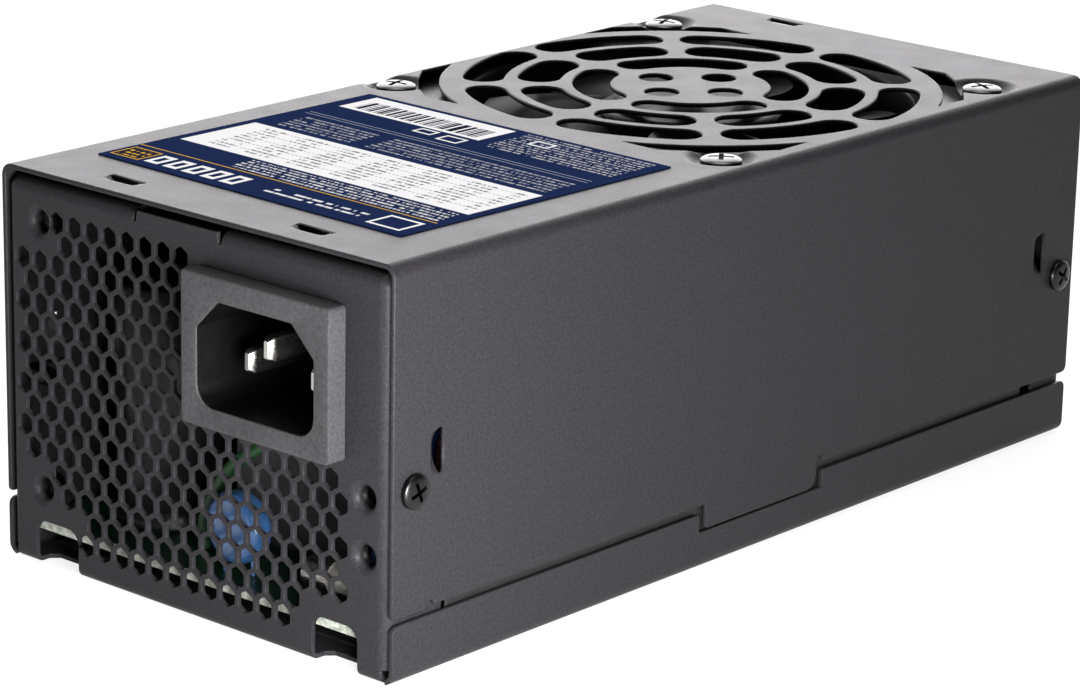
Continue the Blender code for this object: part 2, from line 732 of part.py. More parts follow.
def make_fan_frame(axis):
    half = FAN_SIZE / 2
    flange = 3.4
    upper_flange = blocks(((-half, -half, FAN_DEPTH - flange), (half, half, FAN_DEPTH)))
    frame = add_piece("fan_frame", upper_flange, "fan_plastic", parent=axis)
    join(frame, "lower_flange", blocks(((-half, -half, 0), (half, half, flange))), parent=axis)
    join(frame, "barrel", rods([(0, 0, FAN_DEPTH / 2)], half - 0.3, FAN_DEPTH - 2, 40), parent=axis)
    cut(frame, "bore", rods([(0, 0, FAN_DEPTH / 2)], FAN_BORE_R, FAN_DEPTH + 2, 48), parent=axis)
    join(frame, "motor_seat", rods([(0, 0, 0.9)], 17.0, 1.8, 24), parent=axis)
    reach = FAN_BORE_R + 0.8
    struts = bmesh.new()
    for quarter in range(4):
        turn = Matrix.Rotation(math.radians(quarter * 90 + 20), 4, "Z")
        middle = Matrix.Translation(((16 + reach) / 2, 0, 1.05))
        size = Matrix.Diagonal((reach - 16, 3, 1.9, 1))
        bmesh.ops.create_cube(struts, size=1.0, matrix=turn @ middle @ size)
    join(frame, "struts", struts, parent=axis)
    pitch = FAN_HOLE_HALF_PITCH
    corners = [(x, y, FAN_DEPTH / 2) for x in (-pitch, pitch) for y in (-pitch, pitch)]
    cut(frame, "screw_holes", rods(corners, FAN_SCREW_R + GAP, FAN_DEPTH + 2, 12), parent=axis)


def stator_outline():
    """Four T-shaped poles round the bearing tube."""
    outline = []
    for pole in range(4):
        turn = pole * 90
        for radius, angle in ((5.6, -45), (5.2, -24), (9.6, -13), (9.9, -38), (12.0, -38), (12.0, -19),
                              (12.0, 0), (12.0, 19), (12.0, 38), (9.9, 38), (9.6, 13), (5.2, 24)):
            outline += [arc((0, 0), radius, turn + angle, turn + angle, 1)[0]]
    return outline


def make_fan_motor(axis):
    def ring(inner, outer, low, high):
        return [(outer, high), (outer, low), (inner, low), (inner, high)]

    turned("fan_bearing_tube", ring(2.95, 3.9, 2.0, 10.4), "brass", 16, parent=axis, closed=True)
    turned("fan_bearing", ring(SHAFT_R + 0.08, 2.7, 2.3, 10.0), "brass", 16, parent=axis, closed=True)
    turned("fan_magnet_ring", ring(12.7, 14.2, 3.6, 11.0), "magnet", 24, parent=axis, closed=True)
    turned("fan_circuit_board", ring(4.2, 13.6, 2.2, 2.9), "board_green", 20, parent=axis, closed=True)
    shaft = [(0, 12.7), (0.7, 12.7), (SHAFT_R, 12.4), (SHAFT_R, 2.4), (0.7, 2.1), (0, 2.1)]
    turned("fan_shaft", shaft, "steel", 12, parent=axis)
    stator = add_piece("fan_stator", prisms([stator_outline()], 3.6, 9.6), "steel", parent=axis)
    cut(stator, "tube", rods([(0, 0, 6)], 4.2, 12, 16), parent=axis)


def make_fan_lead():
    route = [(-30, 92, 45.4), (-31, 90, 38), (-30.5, 88, 25), (-28.5, 85, 13), (-28, 83.5, ON_BOARD + 0.4)]
    add_wire("fan_lead", route, 1.3, "black_sleeve")


def make_fan():
    axis = add_empty("fan_axis", (FAN_X, along(FAN_ALONG), FAN_BOTTOM), CASE)
    make_fan_frame(axis)
    make_fan_rotor(axis)
    make_fan_motor(axis)
    make_fan_lead()


# ---------------------------------------------------------------- screws

def screw_profile(head_r, head_h, shank_r, shank_l):
    """A pan head above Z = 0 and its shank below."""
    return [
        (0, head_h), (head_r * 0.7, head_h), (head_r, head_h * 0.5), (head_r, 0), (shank_r, 0),
        (shank_r * 0.7, -shank_l), (0, -shank_l),
    ]


def make_screws():
    fan_profile = screw_profile(FAN_SCREW_HEAD_R, FAN_SCREW_HEAD_H, FAN_SCREW_R, 8.0)
    floor = CASE_H - DIMPLE_DEPTH + FIT
    for number, place in enumerate(fan_hole_places(floor), 1):
        turned(f"fan_screw_{number}", fan_profile, "bright_nickel", SCREW_SIDES, place)
    side_profile = screw_profile(COVER_SCREW_HEAD_R, COVER_SCREW_HEAD_H, COVER_SCREW_R, 6.0)
    seats = [(side, y) for side in (1, -1) for y in COVER_SCREW_ALONG]
    for number, (side, y) in enumerate(seats, 1):
        place = (side * (CASE_W / 2 + FIT), along(y), COVER_SCREW_Z)
        turned(f"cover_screw_{number}", side_profile, "black_steel", SCREW_SIDES, place, (0, side * 90, 0))
    board_profile = screw_profile(2.5, 1.8, 1.4, 4.6)
    for number, (x, y) in enumerate(BOARD_FIXINGS, 1):
        turned(f"board_screw_{number}", board_profile, "bright_nickel", SCREW_SIDES, (x, along(y), ON_BOARD))


# ---------------------------------------------------------------- circuit board and what holds it

def make_main_board():
    front_corner = (-BOARD_HALF_W, along(BOARD_FRONT), BOARD_LOW)
    back_corner = (BOARD_HALF_W, along(BOARD_BACK), BOARD_LOW + BOARD_T)
    board = add_piece("main_circuit_board", blocks((front_corner, back_corner)), "board_green")
    holes = [(x, along(y), BOARD_LOW) for x, y in BOARD_FIXINGS]
    cut(board, "fixing_holes", rods(holes, STANDOFF_BORE_R, 6, 12))
    low, high = SHEET + FIT, BOARD_LOW - FIT
    front_corner = (-INSULATION_HALF_W, along(INSULATION_FRONT), low)
    back_corner = (INSULATION_HALF_W, along(INSULATION_BACK), low + INSULATION_T)
    sheet = add_piece("insulation_sheet", blocks((front_corner, back_corner)), "insulation")
    cut(sheet, "standoff_holes", rods(holes, STANDOFF_R + GAP, 12, 12))
    profile = [(STANDOFF_R, high), (STANDOFF_R, low), (STANDOFF_BORE_R, low), (STANDOFF_BORE_R, high)]
    for number, (x, y) in enumerate(BOARD_FIXINGS, 1):
        turned(f"board_standoff_{number}", profile, "brass", 12, (x, along(y), 0), closed=True)


# ---------------------------------------------------------------- electronic components

def add_electrolytic(name, radius, height, x, y):
    """A can standing on the board, with the groove that holds its seal."""
    profile = [
        (0, height), (radius - 0.8, height), (radius, height - 0.8), (radius, 3.2), (radius - 0.6, 2.6),
        (radius, 2.0), (radius, 0), (0, 0),
    ]
    turned(name, profile, "black_sleeve", 14, (x, along(y), ON_BOARD))


def add_disc(name, radius, thickness, x, y, finish):
    """A disc component standing on its edge, facing the inlet panel."""
    disc = rods([(0, 0, 0)], radius, thickness, 14, "Y")
    add_piece(name, disc, finish, (x, along(y), ON_BOARD + radius + 1.6), bevel=1.2)


def add_e_core(core_name, winding_name, size, leg, x, y, winding_finish):
    """A pair of E cores round a centre leg, and the winding that fills their windows."""
    half_x, half_y, height = size[0] / 2, size[1] / 2, size[2]
    place = (x, along(y), ON_BOARD + 1.0)
    core = add_piece(core_name, blocks(((-half_x, -half_y, 0), (half_x, half_y, height))), "ferrite", place)
    windows = [
        ((leg, -half_y - 1, leg), (half_x - leg, half_y + 1, height - leg)),
        ((leg - half_x, -half_y - 1, leg), (-leg, half_y + 1, height - leg)),
    ]
    cut(core, "windows", blocks(*windows), location=place)
    low, high = leg + GAP, height - leg - GAP
    reach_x, reach_y = half_x - leg - GAP, half_y + leg * 0.8
    coil = add_piece(
        winding_name, blocks(((-reach_x, -reach_y, low), (reach_x, reach_y, high))), winding_finish, place,
    )
    leg_hole = ((-leg - GAP, -half_y - GAP, low - 1), (leg + GAP, half_y + GAP, high + 1))
    cut(coil, "leg", blocks(leg_hole), location=place)


def add_toroid(core_name, winding_name, ring_r, tube_r, place, rotation, finish):
    """A ring core and the coil of wire that covers most of it."""
    core_profile = arc((ring_r, 0), tube_r, 360, 60, 5)
    turned(core_name, core_profile, "ferrite", 16, place, rotation, closed=True)
    sleeve = arc((ring_r, 0), tube_r + 2 * GAP, 360, 60, 5)
    coil = turned(winding_name, sleeve, finish, 14, place, rotation, closed=True)
    coil.modifiers["spin"].angle = math.radians(300)
    thicken(coil, 1.3, 1.0)


def add_heatsink(name, x, start, end, height, fin_side):
    """A vertical aluminium plate beside the board's edge, with short fins on its inner side."""
    plate_t, fin_l, fin_t, fin_h, fins, inset = 2.0, 5.0, 1.2, 11.5, 4, 0.4
    length = end - start
    place = (x, along(start), ON_BOARD)
    inner, outer = sorted((0, -fin_side * plate_t))
    sink = add_piece(name, blocks(((inner, 0, 0), (outer, length, height))), "aluminium", place)
    near, far = sorted((-fin_side * inset, fin_side * fin_l))
    pitch = (length - fin_t - 2 * inset) / (fins - 1)
    top = height - inset
    ribs = []
    for fin in range(fins):
        y = inset + fin * pitch
        ribs.append(((near, y, top - fin_h), (far, y + fin_t, top)))
    join(sink, "fins", blocks(*ribs), location=place)


def add_power_package(name, x, y, side):
    """A transistor package clamped flat to a heatsink that stands on the given side of it."""
    body = blocks(((-2.3, -5.2, 4.0), (2.3, 5.2, 13.5)))
    place = (x, along(y), ON_BOARD)
    package = add_piece(name, body, "black_plastic", place)
    tab = sorted((side * 2.2, side * 0.9))
    legs = [((-0.35, offset - 0.5, 0.0), (0.35, offset + 0.5, 5.0)) for offset in (-2.5, 0, 2.5)]
    join(package, "tab_and_legs", blocks(((tab[0], -4.9, 12.5), (tab[1], 4.9, 19.0)), *legs), location=place)


def make_input_filter():
    add_disc("varistor", 6.0, 4.4, 3.2, 7.2, "blue_epoxy")
    add_disc("y_capacitor", 4.0, 4.0, 27.0, 17.0, "blue_epoxy")
    box_low, box_high = (-10, along(19), ON_BOARD), (16, along(29.2), 24)
    add_piece("x_capacitor", blocks((box_low, box_high)), "grey_case", bevel=0.8)
    fuse = [(0, 10), (2.6, 10), (2.6, 4.5), (2.3, 4.5), (2.3, -4.5), (2.6, -4.5), (2.6, -10), (0, -10)]
    turned("fuse", fuse, "glass_and_caps", 14, (26.5, along(9.6), ON_BOARD + 3.4), (0, 90, 0))
    add_e_core("line_choke_core", "line_choke_winding", (19, 14, 22), 3.0, 26.0, 43.0, "copper_winding")
    add_electrolytic("bulk_capacitor", 9.0, 40.0, -24.0, 18.5)


def make_power_stage():
    add_heatsink("primary_heatsink", -36.5, 34, 76, 34, 1)
    bridge = blocks(((-34.2, along(36.5), ON_BOARD + 3), (-30.6, along(54), ON_BOARD + 19)))
    add_piece("bridge_rectifier", bridge, "black_plastic", bevel=0.6)
    add_power_package("power_transistor", -33.9, 64.0, -1)
    pfc_place = (-6, along(57), 23.2)
    add_toroid("pfc_choke_core", "pfc_choke_winding", 10.4, 3.0, pfc_place, (0, 90, 0), "copper_winding")
    add_e_core("transformer_core", "transformer_winding", (34, 20, 30), 4.5, -6.0, 97.0, "yellow_tape")
    standby = add_piece(
        "standby_transformer", blocks(((-8, -5, 0), (8, 5, 16))), "ferrite", (25, along(66), ON_BOARD),
    )
    join(standby, "coil", blocks(((-5, -8.5, 2), (5, 8.5, 14))), location=(25, along(66), ON_BOARD))


def make_output_stage():
    add_heatsink("secondary_heatsink", 37.0, 84, 138, 30, -1)
    add_power_package("output_rectifier", 34.4, 111.0, 1)
    choke_place = (-8, along(133), 12.5)
    flat = (0, 0, 0)
    add_toroid("output_choke_core", "output_choke_winding", 11.0, 3.2, choke_place, flat, "copper_winding")
    for number, (x, y) in enumerate([(16.5, 120), (16.5, 133)], 1):
        add_electrolytic(f"output_capacitor_{number}", 5.0, 22.0, x, y)
    card = ((-38.4, along(84), ON_BOARD), (-36.8, along(112), ON_BOARD + 27))
    add_piece("control_board", blocks(card), "board_green")


clear_scene()
PARTS = add_collection("power_supply_unit")
HELPERS = add_collection("boolean_helpers")
MATERIALS = make_materials()
CASE = add_empty("case_origin")

make_top_cover()
make_base_chassis()
make_rating_label()
make_cable_bushing()
make_ac_inlet_body()
make_pins()
make_inlet_leads()
make_fan()
make_screws()
make_main_board()
make_input_filter()
make_power_stage()
make_output_stage()
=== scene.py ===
"""Looks of the power supply unit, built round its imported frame.

Shapes are drawn in millimetres in the frame's own axes and become metres where a mesh is made. X is
the width, +Y runs from the inlet panel to the cable end and +Z is up.
"""

import json
import math

import bmesh
import bpy
from mathutils import Matrix, Vector
from mathutils.geometry import delaunay_2d_cdt

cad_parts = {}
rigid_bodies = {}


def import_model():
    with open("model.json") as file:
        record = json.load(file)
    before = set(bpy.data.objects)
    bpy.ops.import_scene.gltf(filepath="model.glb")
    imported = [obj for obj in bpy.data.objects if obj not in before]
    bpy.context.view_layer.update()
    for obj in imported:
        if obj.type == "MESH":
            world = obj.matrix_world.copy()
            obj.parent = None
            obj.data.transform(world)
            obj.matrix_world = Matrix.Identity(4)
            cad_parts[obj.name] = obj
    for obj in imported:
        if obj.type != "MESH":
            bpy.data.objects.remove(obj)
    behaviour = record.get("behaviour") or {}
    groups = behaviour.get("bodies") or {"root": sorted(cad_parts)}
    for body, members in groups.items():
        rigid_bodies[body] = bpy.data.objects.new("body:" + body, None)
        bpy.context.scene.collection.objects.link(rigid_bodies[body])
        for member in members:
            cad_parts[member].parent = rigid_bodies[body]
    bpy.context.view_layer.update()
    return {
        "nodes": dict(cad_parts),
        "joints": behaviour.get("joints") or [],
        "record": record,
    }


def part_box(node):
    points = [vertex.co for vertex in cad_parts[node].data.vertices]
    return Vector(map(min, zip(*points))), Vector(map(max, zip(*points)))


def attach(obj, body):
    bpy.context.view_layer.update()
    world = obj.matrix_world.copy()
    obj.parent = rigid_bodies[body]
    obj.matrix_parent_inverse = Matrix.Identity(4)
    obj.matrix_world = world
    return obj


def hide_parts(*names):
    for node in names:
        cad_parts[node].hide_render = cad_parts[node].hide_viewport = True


for old in list(bpy.data.objects):
    bpy.data.objects.remove(old, do_unlink=True)
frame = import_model()
NODES = frame["nodes"]

MM = 0.001


def node_box(name):
    """A node's lowest corner, highest corner and middle."""
    low, high = (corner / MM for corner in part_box(name))
    return low, high, (low + high) / 2


# Sizes read from the frame, in millimetres
COVER_LOW, COVER_HIGH, _ = node_box("top_cover")
HALF_W = COVER_HIGH.x
FRONT = COVER_LOW.y
LENGTH = COVER_HIGH.y - COVER_LOW.y
TOP = COVER_HIGH.z
FAN_X, FAN_Y, _ = (value / MM for value in frame["joints"][0]["pos_m"])
FAN_LOW, FAN_HIGH, _ = node_box("fan_frame")

# Sheet steel
SHEET = 0.8
EDGE = 0.13          # rounding of a cut edge under its coat
BEND_R = 2.0
FOOT_R = 1.5         # bends between the bottom plate and the end panels
QUARTER = math.pi / 2
BEND_STEPS = 8
RIM_STEPS = 3
COVER_RIM = 0.28      # rounding of the cover's edges, where the punch rolled them over

# Seam between cover and base, heights above the underside
FLANGE_TOP = 9.5
TAB_FRONT = 73.4
TAB_BACK = 102.4
TAB_EDGE = 6.7
RELIEF_EDGE = 6.4
COVER_EDGE = 10.9
COVER_EDGE_BACK = 11.1

# End panels
PANEL_HALF_W = 41.4
PANEL_TOP = 63.2
PANEL_FLANGE = 12.0
FAR_FLANGE = 9.0
TOP_FLANGE = 8.0
BALL_CORNER = 2.72   # how far the ball-shaped top corners run round their bend, in the flat sheet
PLAIN_TOP = (-11.75, 6.1)
PLAIN_EDGE = 63.0
FAR_GAP = (-10, 10)
LANCE_ROOM = 0.6     # room left round the cover's catches in the panels' flanges
FLANGE_CUT = 6.5     # depth from which an end panel's side flange is cut away behind a catch
TOP_CUTS = (3.8, 2.3)   # the same depths in the inlet panel's and the far panel's top flange
PANEL_SCREW_HOLE_R = 1.6
BUSHING_HOLE_R = 10.2

# Honeycomb: pitch, row pitch, width across flats, first hole and the holes of each row
HEX_PITCH = 3.98
HEX_ROW_PITCH = 3.45
HEX_FLATS = 3.2
HEX_FIRST_X = 4.6
HEX_ODD_SHIFT = 2.0
HEX_FIRST_DROP = 7.6
HEX_ROWS = [(2, 9)] * 2 + [(0, 9)] * 6 + [(0, 17)] * 4 + [(2, 17)] * 2 + [(4, 15), (3, 14)]

MOUNT_HOLES = [(8.5, 8.2), (8.6, 52.2), (79.2, 36.6), (79.3, 45.8)]
MOUNT_HOLE_R = 1.75
MOUNT_DISH_R = 3.0
MOUNT_DISH_DEPTH = 0.9
NOTCHES = [(6.9, 16.7), (68.6, 78.0)]
NOTCH_TOP = 7.5
NOTCH_DEPTH = 4.0

# Mains inlet
INLET_X = 17.4
INLET_Z = 45.3
INLET_PROUD = 3.7
BEZEL = (31.2, 24.0)
SOCKET_BODY = (28.0, 21.0)
SOCKET = (24.6, 17.4)
SOCKET_DEPTH = 19.0
SOCKET_CHAMFER = 4.6
SOCKET_DROP = 0.5    # the cavity's top lies this much nearer the middle than its foot
SOCKET_CORNER_R = 3.4
SOCKET_BACK = 17.7   # back of the body behind the panel's face

# Fan grille
GRILLE_RINGS = [(13.8, 20.3, 4), (22.5, 30.0, 8), (32.2, 39.3, 8)]
SPOKE = 3.0
GRILLE_HALF = 39.3
CRESCENT = (43.2, 46.7)
HUB_HOLE_R = 3.0
HUB_HOLE_RING_R = 7.7
SCREW_HALF_PITCH = 35.75
DIMPLE_DEPTH = 1.2
DIMPLE_TOP_R = 6.2
DIMPLE_FLOOR_R = 3.7
FAN_SCREW_HOLE_R = 2.2

# Lanced catches
SIDE_LANCES = [(10.1, 2.3), (164.9, 2.5)]
SIDE_SLIT = 0.8
LANCE_LOW = 31.4
LANCE_HIGH = 38.4
LANCE_DEPTH = 1.6
TOP_LANCES = [(21.75, 6.6), (62.4, 6.6), (20.9, 172.3)]
TOP_LANCE_L = 7.2
TOP_LANCE_W = 2.3
TOP_SLIT = 0.6
TOP_LANCE_DEPTH = 1.3

COVER_SCREW_ALONG = (4.4, 170.25)
COVER_SCREW_Z = 29.9
COVER_SCREW_HOLE_R = 1.9

# Screws: head radius and height, shank radius and length, thread pitch; finish, slot
SCREWS = {
    "fan_screw": ((3.4, 1.3, 1.9, 8.0, 0.9), "dull_zinc", "bright_nickel"),
    "cover_screw": ((2.75, 1.3, 1.5, 6.0, 0.6), "black_steel", "black_steel"),
    "board_screw": ((2.5, 1.8, 1.4, 4.6, 0.6), "bright_nickel", "bright_nickel"),
}


# ---------------------------------------------------------------- outlines

def arc(centre, radius, start, end, steps):
    """Points of an arc, with its angles in degrees."""
    angles = [math.radians(start + (end - start) * step / steps) for step in range(steps + 1)]
    return [(centre[0] + radius * math.cos(a), centre[1] + radius * math.sin(a)) for a in angles]


def rounded(corners, steps=3):
    """A closed outline through (x, y, corner radius) corners."""
    outline = []
    count = len(corners)
    for index, (x, y, radius) in enumerate(corners):
        here = Vector((x, y))
        if not radius:
            outline.append((x, y))
            continue
        before = (Vector(corners[index - 1][:2]) - here).normalized()
        after = (Vector(corners[(index + 1) % count][:2]) - here).normalized()
        half = before.angle(after) / 2
        reach = radius / math.tan(half)
        centre = here + (before + after).normalized() * (radius / math.sin(half))
        start = here + before * reach - centre
        end = here + after * reach - centre
        sweep = math.atan2(start.cross(end), start.dot(end))
        for step in range(steps + 1):
            point = centre + Matrix.Rotation(sweep * step / steps, 2) @ start
            outline.append((point.x, point.y))
    return outline


def box_outline(width, height, radius, steps=4, centre=(0, 0)):
    half_w, half_h = width / 2, height / 2
    corners = [(-half_w, -half_h), (half_w, -half_h), (half_w, half_h), (-half_w, half_h)]
    return rounded([(x + centre[0], y + centre[1], radius) for x, y in corners], steps)


def circle(centre, radius, steps):
    return arc(centre, radius, 0, 360, steps)[:-1]


def area(outline):
    return sum(a[0] * b[1] - b[0] * a[1] for a, b in zip(outline, outline[1:] + outline[:1])) / 2


def anticlockwise(outline):
    return outline if area(outline) > 0 else outline[::-1]


def offset(outline, distance):
    """The outline with each side moved to its left."""
    moved = []
    for index, point in enumerate(outline):
        here = Vector(point)
        before = (here - Vector(outline[index - 1])).normalized()
        after = (Vector(outline[(index + 1) % len(outline)]) - here).normalized()
        left_before = Vector((-before.y, before.x))
        left_after = Vector((-after.y, after.x))
        shift = (left_before + left_after) / max(0.25, 1 + left_before.dot(left_after))
        moved.append(tuple(here + shift * distance))
    return moved


# ---------------------------------------------------------------- bent sheet

class Fold:
    """A quarter bend along a line of the flat sheet, for the points that belong to it."""

    def __init__(self, line, direction, radius, belongs):
        self.line, self.direction, self.radius, self.belongs = line, Vector(direction), radius, belongs

    def guides(self, span):
        """Lines across the bend that the triangles follow, from span[0] to span[1] along it."""
        length = self.radius * QUARTER
        across = Vector((abs(self.direction.y), abs(self.direction.x)))
        distances = [-0.25, *[length * step / BEND_STEPS for step in range(BEND_STEPS + 1)], length + 0.25]
        lines = []
        for distance in distances:
            middle = self.direction.xy * (self.line + distance)
            lines.append([tuple(middle + across.xy * along) for along in span])
        return lines

    def bend(self, point):
        past = point.dot(self.direction) - self.line
        if past <= 0:
            return point
        length = self.radius * QUARTER
        angle = min(past / self.radius, QUARTER)
        height = self.radius - point.z
        flat = point - self.direction * (past + self.line)
        flat.z = 0
        reach = self.line + height * math.sin(angle)
        rise = self.radius - height * math.cos(angle) + max(0.0, past - length)
        return flat + self.direction * reach + Vector((0, 0, rise))


def triangulate(loops, guides):
    """Triangles between the first loop and the others, following the guides inside it."""
    points, edges, faces = [], [], []
    for loop in loops:
        start = len(points)
        points += [Vector(point) for point in anticlockwise(loop)]
        faces.append(list(range(start, len(points))))
    for guide in guides:
        start = len(points)
        points += [Vector(point) for point in guide]
        edges += [(i, i + 1) for i in range(start, len(points) - 1)]
    found, _, triangles, _, _, sources = delaunay_2d_cdt(points, edges, faces, 0, 1e-5, True)
    kept = [tuple(t) for t, source in zip(triangles, sources) if source == [0]]
    return [Vector(point) for point in found], kept


def boundary(triangles):
    """The next point of each boundary point, with the material on the left."""
    directed = {(t[i], t[(i + 1) % 3]) for t in triangles for i in range(3)}
    return {a: b for a, b in directed if (b, a) not in directed}


def sheet_shape(outline, holes, guides, folds, dent, edge=EDGE):
    """A sheet with rounded cut edges, bent along its folds. Its outer face starts at height 0."""
    loops = [offset(anticlockwise(outline), edge)]
    loops += [offset(anticlockwise(hole)[::-1], edge) for hole in holes]
    points, triangles = triangulate(loops, guides)
    following = boundary(triangles)
    leading = {b: a for a, b in following.items()}
    shape = bmesh.new()

    def place(x, y, z):
        point = Vector((x, y, z + dent(x, y)))
        for fold in folds:
            if fold.belongs(x, y):
                point = fold.bend(point)
        return shape.verts.new(point)

    used = sorted({index for triangle in triangles for index in triangle})
    outer = {index: place(*points[index], 0.0) for index in used}
    inner = {index: place(*points[index], SHEET) for index in used}
    for a, b, c in triangles:
        shape.faces.new((outer[a], outer[c], outer[b]))
        shape.faces.new((inner[a], inner[b], inner[c]))
    turns = [math.radians(90 * step / RIM_STEPS) for step in range(1, RIM_STEPS + 1)]
    steps = [(math.sin(turn), 1 - math.cos(turn)) for turn in turns]
    profile = [(out * edge, deep * edge) for out, deep in steps]
    profile += [(out * edge, SHEET - deep * edge) for out, deep in reversed(steps)]
    rims = {}
    for index in following:
        here = points[index]
        before = (here - points[leading[index]]).normalized()
        after = (points[following[index]] - here).normalized()
        out_before = Vector((before.y, -before.x))
        out_after = Vector((after.y, -after.x))
        out = (out_before + out_after) / max(0.25, 1 + out_before.dot(out_after))
        column = [place(*(here + out * reach), height) for reach, height in profile]
        rims[index] = [outer[index], *column, inner[index]]
    for a, b in following.items():
        for level in range(len(rims[a]) - 1):
            shape.faces.new((rims[a][level], rims[a][level + 1], rims[b][level + 1], rims[b][level]))
        for side in (outer, inner):
            crease = shape.edges.get((side[a], side[b]))
            crease.smooth = False
    for face in shape.faces:
        face.smooth = True
    return shape


def smooth_step(value):
    value = min(1.0, max(0.0, value))
    return value * value * (3 - 2 * value)


# ---------------------------------------------------------------- objects

def link_object(name, data):
    obj = bpy.data.objects.new(name, data)
    bpy.context.scene.collection.objects.link(obj)
    return obj


def metre_mesh(name, shape):
    """A mesh in metres from a bmesh in millimetres, which is freed."""
    bmesh.ops.scale(shape, vec=(MM, MM, MM), verts=shape.verts[:])
    mesh = bpy.data.meshes.new(name)
    shape.to_mesh(mesh)
    shape.free()
    return mesh


def move(shape, *by):
    bmesh.ops.translate(shape, verts=shape.verts[:], vec=by)


def placed(at, *turns):
    """A matrix that turns by each (axis, degrees) pair, the last one first, and then moves."""
    place = Matrix.Translation(at)
    for axis, degrees in turns:
        place = place @ Matrix.Rotation(math.radians(degrees), 4, axis)
    return place


def add_object(name, shape, finish, replaces=(), sharp=None, slot=None, body="case"):
    """A piece from a bmesh in millimetres, riding on a body of the frame.

    It is smooth up to the sharp angle, where there is one. Its slot argument is not used."""
    slot = slot or finish
    if sharp:
        smooth_by_angle(shape, sharp)
    bmesh.ops.recalc_face_normals(shape, faces=shape.faces[:])
    obj = link_object(name, metre_mesh(name, shape))
    obj.data.materials.append(FINISHES[finish])
    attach(obj, body)
    if replaces:
        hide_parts(*replaces)
    return obj


def repaint(obj, finish, belongs):
    """Gives a second finish to the faces whose middles, in metres, belong to it."""
    obj.data.materials.append(FINISHES[finish])
    for polygon in obj.data.polygons:
        if belongs(polygon.center):
            polygon.material_index = 1


def smooth_by_angle(shape, degrees):
    """Smooth shading that breaks at edges sharper than the angle."""
    for face in shape.faces:
        face.smooth = True
    shape.normal_update()
    for edge in shape.edges:
        if len(edge.link_faces) == 2 and edge.calc_face_angle(0.0) > math.radians(degrees):
            edge.smooth = False


def ring(shape, points):
    return [shape.verts.new(point) for point in points]


def band(shape, near, far):
    """Faces between two closed rings of as many points."""
    for index in range(len(near)):
        shape.faces.new((near[index - 1], near[index], far[index], far[index - 1]))


def skin(shape, rings, ends=False):
    """Bands from each ring to the next, and a face over each end if wanted."""
    for near, far in zip(rings, rings[1:]):
        band(shape, near, far)
    if ends:
        shape.faces.new(rings[0])
        shape.faces.new(rings[-1])


def flat_cap(shape, rings, axis):
    """A flat face inside the first ring and outside the others, across the axis."""
    keep = [i for i in range(3) if i != axis]
    loops = [[tuple(vert.co[i] for i in keep) for vert in loop] for loop in rings]
    ordered = []
    for loop, flat in zip(rings, loops):
        ordered += loop if area(flat) > 0 else loop[::-1]
    _, triangles = triangulate(loops, [])
    for triangle in triangles:
        shape.faces.new([ordered[index] for index in triangle])


def stack(shape, outlines, axis=2):
    """Bands between outlines, each an (outline, height along the axis) pair, with a cap at each end."""
    rings = []
    for outline, height in outlines:
        rings.append(ring(shape, [(*point[:axis], height, *point[axis:]) for point in outline]))
    skin(shape, rings)
    flat_cap(shape, [rings[0]], axis)
    flat_cap(shape, [rings[-1]], axis)


def block(shape, low, high, radius=0.4, axis=2, corner=0.6):
    """A box with rounded edges."""
    low, high = Vector(low), Vector(high)
    keep = [i for i in range(3) if i != axis]
    centre = [(low[i] + high[i]) / 2 for i in keep]
    size = [high[i] - low[i] for i in keep]
    corner = max(corner, radius * 1.05)
    outlines = []
    for inset, drop in ((radius, 0.0), (radius * 0.3, radius * 0.3), (0.0, radius)):
        outline = box_outline(size[0] - 2 * inset, size[1] - 2 * inset, corner - inset, 3, centre)
        outlines.append((outline, drop))
    levels = [(outline, low[axis] + drop) for outline, drop in outlines]
    levels += [(outline, high[axis] - drop) for outline, drop in reversed(outlines)]
    stack(shape, levels, axis)
    return shape


def turned(shape, profile, steps, place=Matrix(), closed=False):
    """A turned solid round Z: its (radius, height) profile runs from one end of the axis to the other."""
    rings = []
    for radius, height in profile:
        around = circle((0, 0), radius, steps) if radius else [(0, 0)]
        rings.append(ring(shape, [place @ Vector((x, y, height)) for x, y in around]))
    pairs = list(zip(rings, rings[1:])) + ([(rings[-1], rings[0])] if closed else [])
    for near, far in pairs:
        if len(near) == 1:
            near, far = far, near
        if len(far) == 1:
            for index in range(len(near)):
                shape.faces.new((near[index - 1], near[index], far[0]))
        else:
            band(shape, near, far)
    return shape


def tube(shape, path, radius, sides):
    """A round tube along a path of points, with flat ends."""
    path = [Vector(point) for point in path]
    normal = Vector((0.3, 0.2, 0.93))
    rings = []
    for index, point in enumerate(path):
        ahead = path[min(index + 1, len(path) - 1)] - path[max(index - 1, 0)]
        ahead.normalize()
        normal = (normal - ahead * normal.dot(ahead)).normalized()
        side = ahead.cross(normal)
        around = circle((0, 0), radius, sides)
        rings.append(ring(shape, [point + normal * a + side * b for a, b in around]))
    skin(shape, rings, ends=True)


def smooth_route(points, per_span):
    """Points of a Catmull-Rom curve through the route's own points."""
    points = [Vector(point) for point in points]
    ends = [points[0] * 2 - points[1], *points, points[-1] * 2 - points[-2]]
    route = []
    for a, b, c, d in zip(ends, ends[1:], ends[2:], ends[3:]):
        for step in range(per_span):
            t = step / per_span
            bend = (2 * a - 5 * b + 4 * c - d) * t * t + (3 * b - a - 3 * c + d) * t * t * t
            route.append(0.5 * (2 * b + (c - a) * t + bend))
    return route + [points[-1]]


